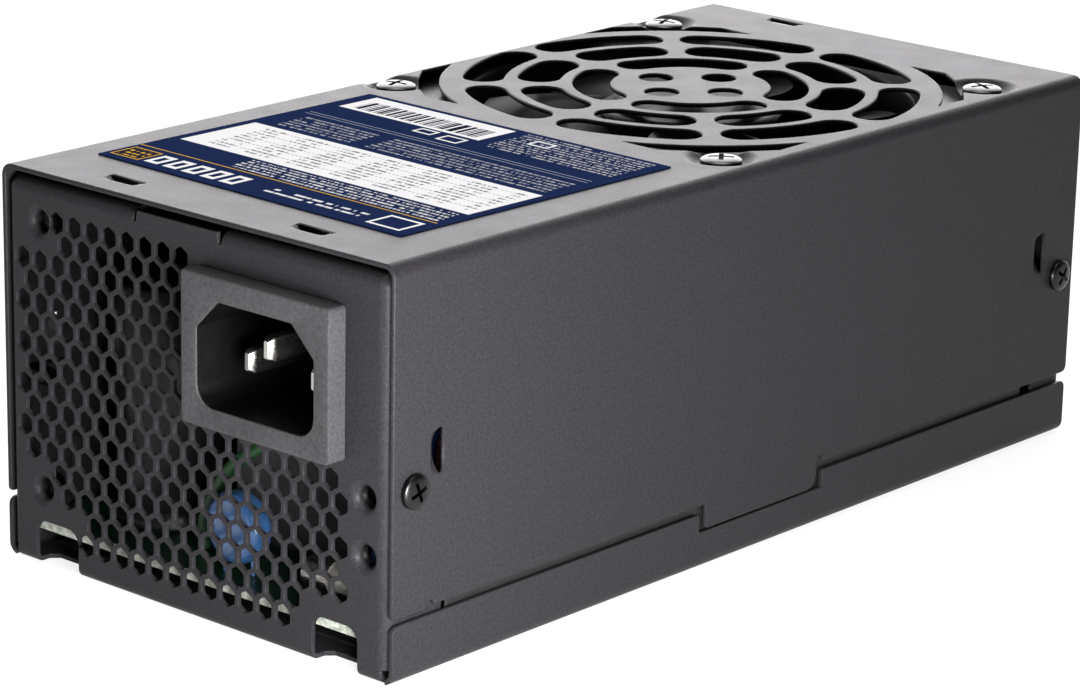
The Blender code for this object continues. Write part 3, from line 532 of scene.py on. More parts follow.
def carve(obj, cutter):
    """Takes the cutter's shape away from the object for good."""
    modifier = obj.modifiers.new("cut", "BOOLEAN")
    modifier.operation = "DIFFERENCE"
    modifier.solver = "EXACT"
    modifier.use_self = True
    modifier.object = cutter
    graph = bpy.context.evaluated_depsgraph_get()
    mesh = bpy.data.meshes.new_from_object(obj.evaluated_get(graph))
    obj.modifiers.remove(modifier)
    obj.data = mesh
    bpy.data.objects.remove(cutter)


# ---------------------------------------------------------------- materials

class Nodes:
    """Short calls for the nodes of a material, or of the owner given instead."""

    def __init__(self, name, owner=None, space="Object"):
        self.owner = owner or bpy.data.materials.new(name)
        self.owner.use_nodes = True
        self.tree = self.owner.node_tree
        self.coordinates = self.tree.nodes.new("ShaderNodeTexCoord").outputs[space]

    def feed(self, node, inputs):
        """Links a node's inputs, by name or number, to sockets, or gives them plain values."""
        for key, value in inputs.items():
            if isinstance(value, bpy.types.NodeSocket):
                self.tree.links.new(value, node.inputs[key])
            else:
                node.inputs[key].default_value = value

    def add(self, kind, inputs, **settings):
        node = self.tree.nodes.new(kind)
        for key, value in settings.items():
            setattr(node, key, value)
        self.feed(node, inputs)
        return node

    def math(self, operation, *values, clamp=False):
        inputs = dict(enumerate(values))
        return self.add("ShaderNodeMath", inputs, operation=operation, use_clamp=clamp).outputs[0]

    def noise(self, size_mm, detail=2.0, roughness=0.5):
        """Noise whose features are about this many millimetres across."""
        grain = {"Scale": 1 / (size_mm * MM), "Detail": detail, "Roughness": roughness}
        return self.add("ShaderNodeTexNoise", {"Vector": self.coordinates, **grain}).outputs["Fac"]

    def ramp(self, value, *stops):
        """A colour ramp between two (position, colour) stops."""
        node = self.add("ShaderNodeValToRGB", {0: value})
        for element, (position, colour) in zip(node.color_ramp.elements, stops):
            element.position = position
            element.color = (*colour, 1.0)
        return node.outputs["Color"]

    def span(self, value, low, high):
        """The value from 0..1 stretched to low..high."""
        inputs = {"Value": value, "To Min": low, "To Max": high}
        return self.add("ShaderNodeMapRange", inputs).outputs["Result"]

    def mix(self, factor, first, second):
        first, second = ((*c, 1.0) if isinstance(c, tuple) else c for c in (first, second))
        return self.add("ShaderNodeMix", {0: factor, 6: first, 7: second}, data_type="RGBA").outputs[2]

    def finished(self, inputs, height=None, depth_mm=0.0):
        """The material, with its shader's inputs and the height of its surface."""
        shader = self.tree.nodes["Principled BSDF"]
        self.feed(shader, inputs)
        if height:
            bump = self.add("ShaderNodeBump", {"Height": height, "Distance": depth_mm * MM})
            self.feed(shader, {"Normal": bump.outputs[0]})
        return self.owner


def shade(colour, share):
    return tuple(min(1.0, channel * share) for channel in colour)


def grained(name, colour, roughness, grain_mm, depth_mm, variation=0.25, metallic=0.0, coat=0.0, gloss=0.5):
    """A plain finish with a fine grain in its surface, colour and gloss."""
    nodes = Nodes(name)
    fine, wide = nodes.noise(grain_mm, 3.0), nodes.noise(grain_mm * 30, 2.0)
    blend = nodes.math("MULTIPLY_ADD", fine, 0.6, nodes.math("MULTIPLY", wide, 0.4))
    dark, light = shade(colour, 1 - variation), shade(colour, 1 + variation)
    inputs = {
        "Base Color": nodes.ramp(blend, (0.32, dark), (0.68, light)),
        "Roughness": nodes.span(fine, roughness - 0.06, roughness + 0.06),
        "Metallic": metallic,
        "Specular IOR Level": gloss,
    }
    if coat:
        inputs |= {"Coat Weight": coat, "Coat Roughness": 0.15}
    return nodes.finished(inputs, fine, depth_mm)


def powder_coat():
    """Satin black powder coat: a fine orange peel over a faint mottle."""
    nodes = Nodes("powder_coat")
    fine = nodes.noise(0.5, 3.0, 0.6)
    return nodes.finished({
        "Base Color": nodes.ramp(fine, (0.3, (0.012, 0.0114, 0.0128)), (0.72, (0.022, 0.0208, 0.0232))),
        "Roughness": nodes.span(nodes.noise(6.0, 3.0), 0.36, 0.46),
        "Specular IOR Level": 0.09,
    }, fine, 0.06)


def brushed(name, colour, roughness):
    """Bare or plated metal with faint handling marks."""
    nodes = Nodes(name)
    marks = nodes.noise(0.5, 4.0)
    return nodes.finished({
        "Base Color": nodes.mix(nodes.noise(3.0, 2.0), shade(colour, 0.82), colour),
        "Roughness": nodes.span(marks, roughness - 0.08, roughness + 0.12),
        "Metallic": 1.0,
    }, marks, 0.01)


def wound(name, colour, pitch_mm):
    """Enamelled wire or tape seen as fine parallel turns."""
    nodes = Nodes(name)
    inputs = {"Scale": 0.314 / (pitch_mm * MM), "Distortion": 0.6, "Vector": nodes.coordinates}
    wave = nodes.add("ShaderNodeTexWave", inputs, wave_type="BANDS", bands_direction="Z").outputs["Fac"]
    base = nodes.mix(wave, shade(colour, 0.45), colour)
    return nodes.finished({"Base Color": base, "Roughness": 0.32, "Metallic": 0.35}, wave, 0.2)


def board_material():
    """Green solder mask with paler tracks and pads, and bare laminate on its cut edges."""
    nodes = Nodes("circuit_board")
    inputs = {"Scale": 1 / (4.5 * MM), "Vector": nodes.coordinates}
    cells = nodes.add("ShaderNodeTexVoronoi", inputs, feature="DISTANCE_TO_EDGE")
    tracks = nodes.math("GREATER_THAN", cells.outputs["Distance"], 0.09)
    # The mask's greens are darker than the mask's own colour: painted shade of the case's inside
    mask = nodes.mix(tracks, (0.004, 0.018, 0.008), (0.006, 0.032, 0.013))
    normal = nodes.add("ShaderNodeNewGeometry", {}).outputs["Normal"]
    upward = nodes.add("ShaderNodeSeparateXYZ", {0: normal}).outputs["Z"]
    flat = nodes.math("GREATER_THAN", nodes.math("ABSOLUTE", upward), 0.5)
    edge = nodes.ramp(nodes.noise(0.8, 3.0), (0.3, (0.20, 0.22, 0.18)), (0.7, (0.52, 0.55, 0.48)))
    return nodes.finished({"Base Color": nodes.mix(flat, edge, mask), "Roughness": 0.35}, tracks, 0.03)


NAVY = (0.0115, 0.021, 0.066)
WHITE = (0.76, 0.76, 0.76)
GREY = (0.30, 0.32, 0.38)
GOLD = (0.60, 0.36, 0.04)
INK = (0.012, 0.014, 0.03)
PRINT_EDGE = 1 / 12     # width of the soft edge of a printed shape


class LabelPrint(Nodes):
    """Film with shapes printed on it, in millimetres from the label's centre."""

    def __init__(self, turn, centre, film):
        super().__init__("label_film")
        mapping = self.add("ShaderNodeMapping", {
            "Vector": self.coordinates,
            "Location": (centre[0] * MM, centre[1] * MM, 0),
            "Rotation": (0, 0, turn),
            "Scale": (MM, MM, MM),
        }, vector_type="TEXTURE")
        split = self.add("ShaderNodeSeparateXYZ", {0: mapping.outputs[0]})
        self.x, self.y = split.outputs["X"], split.outputs["Y"]
        self.printed = film

    def both(self, first, second):
        return self.math("MULTIPLY", first, second)

    def inside(self, value, low, high):
        """1 between the limits, with soft edges inside them."""
        near = self.math("DIVIDE", self.math("SUBTRACT", value, low), PRINT_EDGE, clamp=True)
        far = self.math("DIVIDE", self.math("SUBTRACT", high, value), PRINT_EDGE, clamp=True)
        return self.both(near, far)

    def box(self, x0, x1, y0, y1):
        return self.both(self.inside(self.x, x0, x1), self.inside(self.y, y0, y1))

    def stripes(self, value, pitch, share, shift=0.0):
        """1 over a share of each pitch."""
        phase = self.math("FRACT", self.math("DIVIDE", self.math("ADD", value, shift), pitch))
        return self.math("LESS_THAN", phase, share)

    def marks(self, box, pitch, letter, seed):
        """Rows of short dashes of uneven length in a box, like print too small to read."""
        row_number = self.math("FLOOR", self.math("DIVIDE", self.y, pitch))
        across, row = self.math("DIVIDE", self.x, letter), self.math("MULTIPLY_ADD", row_number, 7.31)
        spread = self.add("ShaderNodeCombineXYZ", {0: across, 1: row, 2: seed}).outputs[0]
        noise = self.add("ShaderNodeTexNoise", {"Scale": 1.0, "Detail": 1.0, "Vector": spread})
        dashes = self.math("GREATER_THAN", noise.outputs["Fac"], 0.48)
        return self.both(self.box(*box), self.both(self.stripes(self.y, pitch, 0.46), dashes))

    def bars(self, box):
        """Upright bars of uneven width in a box."""
        inputs = {"Scale": 1.0, "Detail": 0.0, "W": self.math("MULTIPLY", self.x, 1.5)}
        noise = self.add("ShaderNodeTexNoise", inputs, noise_dimensions="1D")
        return self.both(self.box(*box), self.math("GREATER_THAN", noise.outputs["Fac"], 0.47))

    def outline(self, box, line):
        x0, x1, y0, y1 = box
        hollow = self.box(x0 + line, x1 - line, y0 + line, y1 - line)
        return self.math("SUBTRACT", self.box(*box), hollow)

    def over(self, mask, ink, strength=1.0):
        """Prints a mask over what is there."""
        self.printed = self.mix(self.math("MULTIPLY", mask, strength), self.printed, ink)


def label_material(turn, centre):
    """Navy film with a white table, a bar block and lines of marks too small to read."""
    label = LabelPrint(turn, centre, NAVY)
    # Bar block at the back, with outlined blocks and small print beside it
    label.over(label.box(-31.0, 1.2, 20.2, 29.2), WHITE)
    label.over(label.bars((-28.8, -0.6, 21.2, 26.4)), INK)
    for box in ((-10.8, -6.6, 16.9, 19.6), (-4.6, 0.2, 15.9, 19.2), (8.0, 12.4, 24.2, 27.2)):
        label.over(label.outline(box, 0.5), WHITE)
    label.over(label.marks((4.0, 31.5, 18.4, 29.4), 1.15, 0.42, 3.0), WHITE, 0.5)
    # Two thin rules, then small print in two columns
    for y in (14.0, 12.9):
        label.over(label.box(-31.5, 31.5, y, y + 0.28), GREY)
    for x0, x1, seed in ((-29.0, -12.0, 1.0), (-8.5, 31.0, 2.0)):
        label.over(label.marks((x0, x1, 3.2, 11.6), 1.3, 0.36, seed), WHITE, 0.42)
    # White table with dotted rules and short entries
    label.over(label.box(-32.0, 32.2, -14.4, 2.2), WHITE)
    rules = label.both(label.box(-26.0, 31.0, -13.0, 1.2), label.stripes(label.y, 2.8, 0.09))
    label.over(label.both(rules, label.stripes(label.x, 0.9, 0.6)), INK, 0.6)
    entries = label.marks((-27.5, 30.5, -13.2, 1.0), 1.4, 0.5, 5.0)
    label.over(label.both(entries, label.stripes(label.x, 9.5, 0.62)), INK, 0.7)
    # Dense print under the table and a gold rule
    label.over(label.marks((-14.0, 31.5, -20.6, -15.2), 1.2, 0.4, 8.0), WHITE, 0.8)
    label.over(label.box(-33.9, 32.5, -21.5, -21.15), GOLD)
    # Front strip: a gold-edged block, five hollow blocks, larger print and an outlined block
    label.over(label.box(-32.9, -26.4, -28.6, -22.9), GOLD)
    label.over(label.box(-32.6, -26.7, -28.3, -23.2), INK)
    label.over(label.marks((-32.0, -27.3, -27.8, -23.7), 1.4, 0.8, 9.0), GOLD)
    blocks = label.both(label.box(-25.4, -4.0, -28.2, -23.4), label.stripes(label.x, 4.3, 0.72, 25.4))
    hollow = label.both(label.box(-25.4, -4.0, -27.2, -24.4), label.stripes(label.x, 4.3, 0.30, 24.5))
    label.over(label.math("SUBTRACT", blocks, hollow, clamp=True), WHITE)
    label.over(label.marks((0.5, 22.0, -27.2, -24.0), 1.6, 1.1, 12.0), WHITE, 0.85)
    label.over(label.outline((24.4, 31.6, -28.6, -22.8), 0.6), WHITE)
    looks = {"Base Color": label.printed, "Roughness": 0.5, "Specular IOR Level": 0.0}
    return label.finished(looks, label.noise(1.2, 2.0), 0.008)


# Metals: colour and roughness
METALS = {
    "bright_nickel": ((0.50, 0.485, 0.46), 0.22),
    "dull_zinc": ((0.095, 0.093, 0.09), 0.3),
    "black_steel": ((0.035, 0.035, 0.036), 0.3),
    "brass": ((0.60, 0.43, 0.17), 0.3),
    "plain_steel": ((0.45, 0.45, 0.45), 0.35),
    # aluminium is far darker than bare aluminium: painted shade of the case's inside, on the heatsinks and
    # the capacitors' tops
    "aluminium": ((0.06, 0.061, 0.063), 0.42),
}

# Other plain finishes: colour, roughness, size and depth of the grain in millimetres, what else differs
PLAIN_FINISHES = {
    "inlet_plastic": ((0.036, 0.0352, 0.0376), 0.5, 0.5, 0.07, {"variation": 0.35, "gloss": 0.15}),
    # socket_black is near-black: painted shade, used for the inlet socket's cavity and the mounting holes'
    # thread collars
    "socket_black": ((0.002, 0.002, 0.0022), 0.4, 0.6, 0.02, {"gloss": 0.08}),
    "bushing_plastic": ((0.02, 0.02, 0.02), 0.5, 0.6, 0.02, {}),
    "fan_plastic": ((0.005, 0.005, 0.0055), 0.3, 0.8, 0.01, {"gloss": 0.06}),
    "insulation_film": ((0.003, 0.003, 0.003), 0.6, 1.5, 0.02, {}),
    # ferrite: its own dark grey, made darker still as painted shade of the case's inside
    "ferrite": ((0.02, 0.02, 0.022), 0.6, 0.4, 0.03, {}),
    "copper_winding": ((0.55, 0.20, 0.06), 0.28, 0.6, 0.01, {"variation": 0.2, "metallic": 0.6}),
    "blue_epoxy": ((0.03, 0.085, 0.21), 0.22, 1.5, 0.08, {"variation": 0.3, "coat": 0.6}),
    # grey_plastic is near-black: painted shade of the case's inside over a grey part
    "grey_plastic": ((0.016, 0.016, 0.018), 0.4, 0.5, 0.02, {}),
    "black_plastic": ((0.02, 0.02, 0.022), 0.42, 0.5, 0.02, {}),
    # capacitor_sleeve: a black sleeve, made darker still as painted shade of the case's inside
    "capacitor_sleeve": ((0.008, 0.008, 0.009), 0.3, 3.0, 0.03, {"variation": 0.2, "gloss": 0.25}),
    # fuse_glass is dimmed to a dull grey: painted shade of the case's inside
    "fuse_glass": ((0.25, 0.24, 0.21), 0.12, 2.0, 0.01, {"variation": 0.1, "coat": 1.0}),
    "magnet": ((0.05, 0.05, 0.05), 0.6, 0.4, 0.03, {}),
    "brown_wire": ((0.16, 0.06, 0.03), 0.36, 1.0, 0.01, {}),
    # blue_wire: its own blue, made darker as painted shade of the case's inside
    "blue_wire": ((0.008, 0.025, 0.12), 0.36, 1.0, 0.01, {}),
    "green_wire": ((0.012, 0.045, 0.014), 0.36, 1.0, 0.01, {}),
    "black_wire": ((0.02, 0.02, 0.02), 0.36, 1.0, 0.01, {}),
}

FINISHES = {}


def make_finishes():
    FINISHES["case_coating"] = powder_coat()
    FINISHES["circuit_board"] = board_material()
    FINISHES["winding_tape"] = wound("winding_tape", (0.75, 0.55, 0.06), 1.2)
    for name, looks in METALS.items():
        FINISHES[name] = brushed(name, *looks)
    for name, (*looks, others) in PLAIN_FINISHES.items():
        FINISHES[name] = grained(name, *looks, **others)


# ---------------------------------------------------------------- cover

def along(distance):
    return FRONT + distance


def ring_slot(inner, outer, start, end):
    """A slot bent round the centre, with round ends."""
    middle, half = (inner + outer) / 2, (outer - inner) / 2
    steps = max(6, round((end - start) / 3))
    first, last = (arc((0, 0), middle, angle, angle, 1)[0] for angle in (start, end))
    outline = arc((0, 0), outer, start, end, steps) + arc(last, half, end, end + 180, 10)[1:-1]
    outline += arc((0, 0), inner, end, start, steps)
    return outline + arc(first, half, start + 180, start + 360, 10)[1:-1]


def grille_holes():
    """Every opening of the fan grille, from the fan's own centre."""
    holes = []
    for inner, outer, count in GRILLE_RINGS:
        inset = math.degrees(math.asin((SPOKE + outer - inner) / (inner + outer)))
        step = 360 / count
        holes += [ring_slot(inner, outer, i * step + inset, (i + 1) * step - inset) for i in range(count)]
    inner_end, outer_end = (math.degrees(math.acos(GRILLE_HALF / radius)) for radius in CRESCENT)
    for quarter in range(4):
        turn = quarter * 90
        outside = arc((0, 0), CRESCENT[1], turn + outer_end, turn + 90 - outer_end, 24)
        inside = arc((0, 0), CRESCENT[0], turn + 90 - inner_end, turn + inner_end, 24)
        holes.append(outside + inside)
        holes.append(circle(arc((0, 0), HUB_HOLE_RING_R, turn, turn, 1)[0], HUB_HOLE_R, 28))
    return holes


def dimple_centres():
    signs = ((-1, -1), (1, -1), (1, 1), (-1, 1))
    return [(FAN_X + SCREW_HALF_PITCH * a, FAN_Y - FRONT + SCREW_HALF_PITCH * b) for a, b in signs]


def dimple_dent(x, y):
    for centre in dimple_centres():
        distance = math.dist((x, y), centre)
        if distance < DIMPLE_TOP_R:
            return DIMPLE_DEPTH * smooth_step((DIMPLE_TOP_R - distance) / (DIMPLE_TOP_R - DIMPLE_FLOOR_R))
    return 0.0


def wall_blank(height):
    """How far out in the flat cover a point of the side wall lies, from its height."""
    return HALF_W - BEND_R + BEND_R * QUARTER + TOP - BEND_R - height


def catch_places():
    """Each catch in the flat cover: its ends, lip, reach behind the lip, slit width and depth."""
    places = []
    for side in (-1, 1):
        low, high = sorted((side * wall_blank(LANCE_LOW), side * wall_blank(LANCE_HIGH)))
        places += [(low, high, lip, reach, SIDE_SLIT, LANCE_DEPTH) for lip, reach in SIDE_LANCES]
    for middle, lip in TOP_LANCES:
        low = middle - HALF_W - TOP_LANCE_L / 2
        places.append((low, low + TOP_LANCE_L, lip, TOP_LANCE_W, TOP_SLIT, TOP_LANCE_DEPTH))
    return places


def cover_dent(x, y):
    """Depth of the fan screws' dimples and of the pressed catches, which are deepest at their lips."""
    depth = dimple_dent(x, y)
    for low, high, lip, reach, _, press in CATCHES:
        across, ahead = (2 * x - low - high) / (high - low), (lip - y) / reach
        if abs(across) < 1 and -0.05 < ahead < 1:
            depth += press * (1 - across * across) ** 0.7 * (1 - smooth_step(ahead))
    return depth


def across_catch(low, high, y, steps=12):
    return [(low + (high - low) * step / steps, y) for step in range(steps + 1)]


def lance_slits():
    """The cut side of each catch, with points along its lip."""
    return [
        [*across_catch(low, high, lip), (high, lip + slit), (low, lip + slit)]
        for low, high, lip, _, slit, _ in CATCHES
    ]


def lance_guides(margin=0.45, rows=6):
    """A grid over each catch, so that its dome is round, and a closed line just outside it,
    which keeps its shading off the flat sheet."""
    guides = []
    for low, high, lip, reach, slit, _ in CATCHES:
        left, right, near, far = low - margin, high + margin, lip - reach - margin, lip + slit + margin
        guides.append([(left, near), (right, near), (right, far), (left, far), (left, near)])
        guides += [across_catch(low, high, lip - reach * row / rows) for row in range(1, rows + 1)]
    return guides


CATCHES = catch_places()


def cover_side_edge():
    """The lower edge of the +X wall in the flat cover, from the inlet end to the cable end."""
    low, relief = 10.5, 11.6
    raised = COVER_EDGE_BACK + 0.9
    edge = [
        (0.15, low, 0.8), (7.4, low, 0.3), (7.6, relief, 0.3), (9.1, relief, 0.3), (9.3, COVER_EDGE, 0.3),
        (TAB_FRONT, COVER_EDGE, 0.5), (TAB_FRONT, TAB_EDGE, 0.6), (TAB_BACK, TAB_EDGE, 2.2),
        (TAB_BACK, COVER_EDGE_BACK, 0.3), (TAB_BACK + 0.2, raised, 0.3), (TAB_BACK + 1.4, raised, 0.3),
        (TAB_BACK + 1.6, COVER_EDGE_BACK, 0.3), (LENGTH - 0.1, COVER_EDGE_BACK, 1.2),
    ]
    return [(wall_blank(height), y, radius) for y, height, radius in edge]


def mirrored(side):
    """The -X side of a flat sheet from its +X side, running the other way."""
    return [(-x, y, radius) for x, y, radius in reversed(side)]


def make_cover():
    right = cover_side_edge()
    corner = HALF_W - BEND_R
    front, back = [(-corner, 0, 0), (corner, 0, 0)], [(corner, LENGTH, 0), (-corner, LENGTH, 0)]
    outline = rounded([*front[1:], *right, *back, *mirrored(right), *front[:1]])
    holes = [[(x + FAN_X, y + FAN_Y - FRONT) for x, y in hole] for hole in grille_holes()]
    holes += [circle(place, FAN_SCREW_HOLE_R, 28) for place in dimple_centres()]
    holes += lance_slits()
    for side in (-1, 1):
        places = [(side * wall_blank(COVER_SCREW_Z), y) for y in COVER_SCREW_ALONG]
        holes += [circle(place, COVER_SCREW_HOLE_R, 20) for place in places]
    folds = [Fold(corner, (side, 0, 0), BEND_R, lambda x, y: True) for side in (-1, 1)]
    guides = [line for fold in folds for line in fold.guides((-1, LENGTH + 1))]
    inner, outer, steps = DIMPLE_FLOOR_R - 0.4, DIMPLE_TOP_R + 0.3, 8
    radii = [inner + (outer - inner) * step / steps for step in range(steps + 1)]
    guides += [arc(place, radius, 0, 360, 36) for place in dimple_centres() for radius in radii]
    guides += lance_guides()
    shape = sheet_shape(outline, holes, guides, folds, cover_dent, edge=COVER_RIM)
    for vert in shape.verts:
        vert.co = (vert.co.x, FRONT + vert.co.y, TOP - vert.co.z)
    add_object("cover_sheet", shape, "case_coating", ["top_cover"])


# ---------------------------------------------------------------- base

def front_blank(height):
    """The flat sheet's Y of a point of the inlet panel, from its height."""
    return 2 * FOOT_R - FOOT_R * QUARTER - height


def far_blank(height):
    return LENGTH - front_blank(height)


def hexagon(x, y):
    radius = HEX_FLATS / math.sqrt(3)
    return rounded([(*arc((x, y), radius, angle, angle, 1)[0], 0.25) for angle in range(30, 390, 60)], 1)


def honeycomb_holes():
    holes = []
    for row, (first, last) in enumerate(HEX_ROWS):
        height = TOP - HEX_FIRST_DROP - HEX_ROW_PITCH * row
        shift = HEX_FIRST_X + HEX_ODD_SHIFT * (row % 2) - HALF_W
        holes += [hexagon(shift + HEX_PITCH * k, front_blank(height)) for k in range(first, last + 1)]
    return holes


def mount_hole_centres():
    return [(x - HALF_W, front_blank(TOP - drop)) for x, drop in MOUNT_HOLES]


def base_dent(x, y):
    for centre in mount_hole_centres():
        distance = math.dist((x, y), centre)
        if distance < MOUNT_DISH_R:
            return MOUNT_DISH_DEPTH * ((MOUNT_DISH_R - distance) / (MOUNT_DISH_R - MOUNT_HOLE_R)) ** 2
    return 0.0


def tray_blank(height):
    """How far out in the flat base a point of the low side flange lies, from its height."""
    return HALF_W - BEND_R + BEND_R * QUARTER + height - BEND_R


def panel_flange_blank(depth):
    """How far out in the flat base a point of an end panel's side flange lies, from its depth."""
    return PANEL_HALF_W - BEND_R + BEND_R * QUARTER + depth - BEND_R


def top_bend_end(blank):
    """The flat sheet's Y where an end panel's top bend ends and its flange begins."""
    return blank(PANEL_TOP - BEND_R) + math.copysign(BEND_R * QUARTER, blank(2) - blank(1))


def base_side(side_relief=0.7):
    """The +X side of the flat base, from the inlet panel's foot to the far panel's foot."""
    panel_low = 2.2
    corner = HALF_W - BEND_R
    neck = corner - 0.3
    ends = []
    for blank, flange in ((front_blank, PANEL_FLANGE), (far_blank, FAR_FLANGE)):
        reach = panel_flange_blank(flange)
        cut = panel_flange_blank(FLANGE_CUT)
        top = blank(PANEL_TOP - BEND_R)
        ball = PANEL_HALF_W - BEND_R + BALL_CORNER
        ends.append([
            (ball, top_bend_end(blank), 0.4), (ball, top, 0.0), (reach, top, 1.0),
            (reach, blank(LANCE_HIGH + LANCE_ROOM), 0.4), (cut, blank(LANCE_HIGH + LANCE_ROOM), 0.4),
            (cut, blank(LANCE_LOW - LANCE_ROOM), 0.4), (reach, blank(LANCE_LOW - LANCE_ROOM), 0.4),
            (reach, blank(panel_low), 1.0),
            (neck, blank(panel_low), 0.2), (neck, blank(-side_relief), 0.2),
        ])
    front, far = ends
    tray = [
        (neck + side_relief, front_blank(-side_relief), 0.2), (neck + side_relief, 0.3, 0.2),
        (tray_blank(FLANGE_TOP), 0.3, 1.2), (tray_blank(FLANGE_TOP), TAB_FRONT - 1.6, 0.6),
        (tray_blank(RELIEF_EDGE), TAB_FRONT - 1.6, 0.4), (tray_blank(RELIEF_EDGE), TAB_BACK + 1.6, 0.4),
        (tray_blank(FLANGE_TOP), TAB_BACK + 1.6, 0.6), (tray_blank(FLANGE_TOP), LENGTH - 0.4, 1.2),
        (neck + side_relief, LENGTH - 0.4, 0.2), (neck + side_relief, far_blank(-side_relief), 0.2),
    ]
    return front + tray + far[::-1]


def top_edge(blank, gap, cuts, cut_depth):
    """An end panel's top edge in the flat base, from -X to +X, with its bent flanges.

    The flanges are cut away round the cover's catches, whose middles are at the cuts."""
    end = PANEL_HALF_W - BEND_R - 1.2
    bend = blank(PANEL_TOP - BEND_R)
    bent = top_bend_end(blank)
    flange = bent + math.copysign(TOP_FLANGE - BEND_R, bent - bend)
    plain = blank(PLAIN_EDGE)
    start, stop = gap
    notch = bent + math.copysign(cut_depth - BEND_R, bent - bend)
    half = TOP_LANCE_L / 2 + LANCE_ROOM
    edges = [
        (-end, bent, 0.2), (-end, flange, 1.2), (start - 0.7, flange, 1.2), (start - 0.7, bend, 0.2),
        (start - 0.1, bend, 0.2), (start + 0.2, plain, 0.2), (stop - 0.2, plain, 0.2),
        (stop + 0.1, bend, 0.2), (stop + 0.7, bend, 0.2), (stop + 0.7, flange, 1.2),
        (end, flange, 1.2), (end, bent, 0.2),
    ]
    for middle in cuts:
        low, high = middle - half, middle + half
        edges += [(low, flange, 0.4), (low, notch, 0.4), (high, notch, 0.4), (high, flange, 0.4)]
    return sorted(edges, key=lambda corner: corner[0])


def notch_holes():
    """The arched notches, from the inlet panel's foot round the bend into the bottom plate."""
    holes = []
    top, slope = front_blank(NOTCH_TOP), 1.2
    for start, end in NOTCHES:
        low, high = start - HALF_W, end - HALF_W
        holes.append(rounded([
            (low, top, 2.4), (high, top, 2.4),
            (high, NOTCH_DEPTH - slope, 0.3), (high - slope, NOTCH_DEPTH, 0.3),
            (low + slope, NOTCH_DEPTH, 0.3), (low, NOTCH_DEPTH - slope, 0.3),
        ], 6))
    return holes


def base_outline():
    right = base_side()
    catches = [left_edge - HALF_W for left_edge, _ in TOP_LANCES]
    front_top = top_edge(front_blank, PLAIN_TOP, catches[:2], TOP_CUTS[0])
    far_top = top_edge(far_blank, FAR_GAP, catches[2:], TOP_CUTS[1])
    return rounded(front_top + right + far_top[::-1] + mirrored(right))


def base_holes():
    bushing = node_box("cable_bushing")[2]
    socket = (INLET_X, front_blank(INLET_Z))
    opening = box_outline(SOCKET_BODY[0] + 0.6, SOCKET_BODY[1] + 0.6, 0.8, 3, socket)
    holes = honeycomb_holes() + notch_holes() + [opening]
    holes += [circle(centre, MOUNT_HOLE_R, 28) for centre in mount_hole_centres()]
    holes.append(circle((bushing.x, far_blank(bushing.z)), BUSHING_HOLE_R, 48))
    seats = ((front_blank, COVER_SCREW_ALONG[0]), (far_blank, LENGTH - COVER_SCREW_ALONG[1]))
    for side in (-1, 1):
        for blank, depth in seats:
            place = (side * panel_flange_blank(depth), blank(COVER_SCREW_Z))
            holes.append(circle(place, PANEL_SCREW_HOLE_R, 20))
    return holes


def base_folds():
    """Every bend of the base, with guides across each."""
    panel_corner = PANEL_HALF_W - BEND_R
    corner = HALF_W - BEND_R
    top_bend = PANEL_TOP - BEND_R

    def is_front(x, y):
        return not (y > 0.2 and abs(x) > corner)

    def is_far(x, y):
        return not (y < LENGTH - 0.2 and abs(x) > corner)

    def bends_at_top(gap):
        return lambda x, y: not gap[0] - 0.5 < x < gap[1] + 0.5

    # Side bends: how far out they lie, the points they bend and the stretch their guides cover
    sides = [
        (panel_corner, lambda x, y: y < front_blank(2.0), (-LENGTH / 2, front_blank(1.9))),
        (panel_corner, lambda x, y: y > far_blank(2.0), (far_blank(1.9), 2 * LENGTH)),
        (corner, lambda x, y: 0.2 < y < LENGTH - 0.2 and abs(x) > corner, (-1, LENGTH + 1)),
    ]
    folds, guides = [], []
    for line, belongs, span in sides:
        for side in (-1, 1):
            folds.append(Fold(line, (side, 0, 0), BEND_R, belongs))
            guides += folds[-1].guides(span)
    ends = [
        Fold(-front_blank(top_bend), (0, -1, 0), BEND_R, bends_at_top(PLAIN_TOP)),
        Fold(far_blank(top_bend), (0, 1, 0), BEND_R, bends_at_top(FAR_GAP)),
        Fold(-FOOT_R, (0, -1, 0), FOOT_R, is_front),
        Fold(LENGTH - FOOT_R, (0, 1, 0), FOOT_R, is_far),
    ]
    for fold in ends:
        guides += fold.guides((-HALF_W, HALF_W))
    return folds + ends, guides


def make_base():
    folds, guides = base_folds()
    steps = 7
    for centre in mount_hole_centres():
        for step in range(steps + 1):
            radius = MOUNT_HOLE_R + 0.3 + (MOUNT_DISH_R - MOUNT_HOLE_R) * step / steps
            guides.append(arc(centre, radius, 0, 360, 28))
    shape = sheet_shape(base_outline(), base_holes(), guides, folds, base_dent)
    move(shape, 0, FRONT, 0)
    add_object("base_sheet", shape, "case_coating", ["base_chassis"])


def make_thread_collars():
    """The threaded sleeve behind each mounting hole."""
    shape = bmesh.new()
    outer, end, turns, pitch, depth = 2.6, 1.7, 4, 0.42, 0.22
    thread = MOUNT_HOLE_R + 0.02
    profile = [(outer, end), (outer, 0.4)]
    for turn in range(turns):
        start = 0.1 + turn * pitch
        profile += [(thread, start), (thread + depth, start + pitch / 2)]
    profile.append((thread, end))
    for x, drop in MOUNT_HOLES:
        turned(shape, profile, 32, placed((x - HALF_W, FRONT + 1.0, TOP - drop), ("X", -90)), closed=True)
    # The collars get the near-black socket_black finish instead of black steel: painted shade in the mounting
    # holes
    add_object("mount_thread_collars", shape, "socket_black", sharp=50, slot="black_steel")


# ---------------------------------------------------------------- label

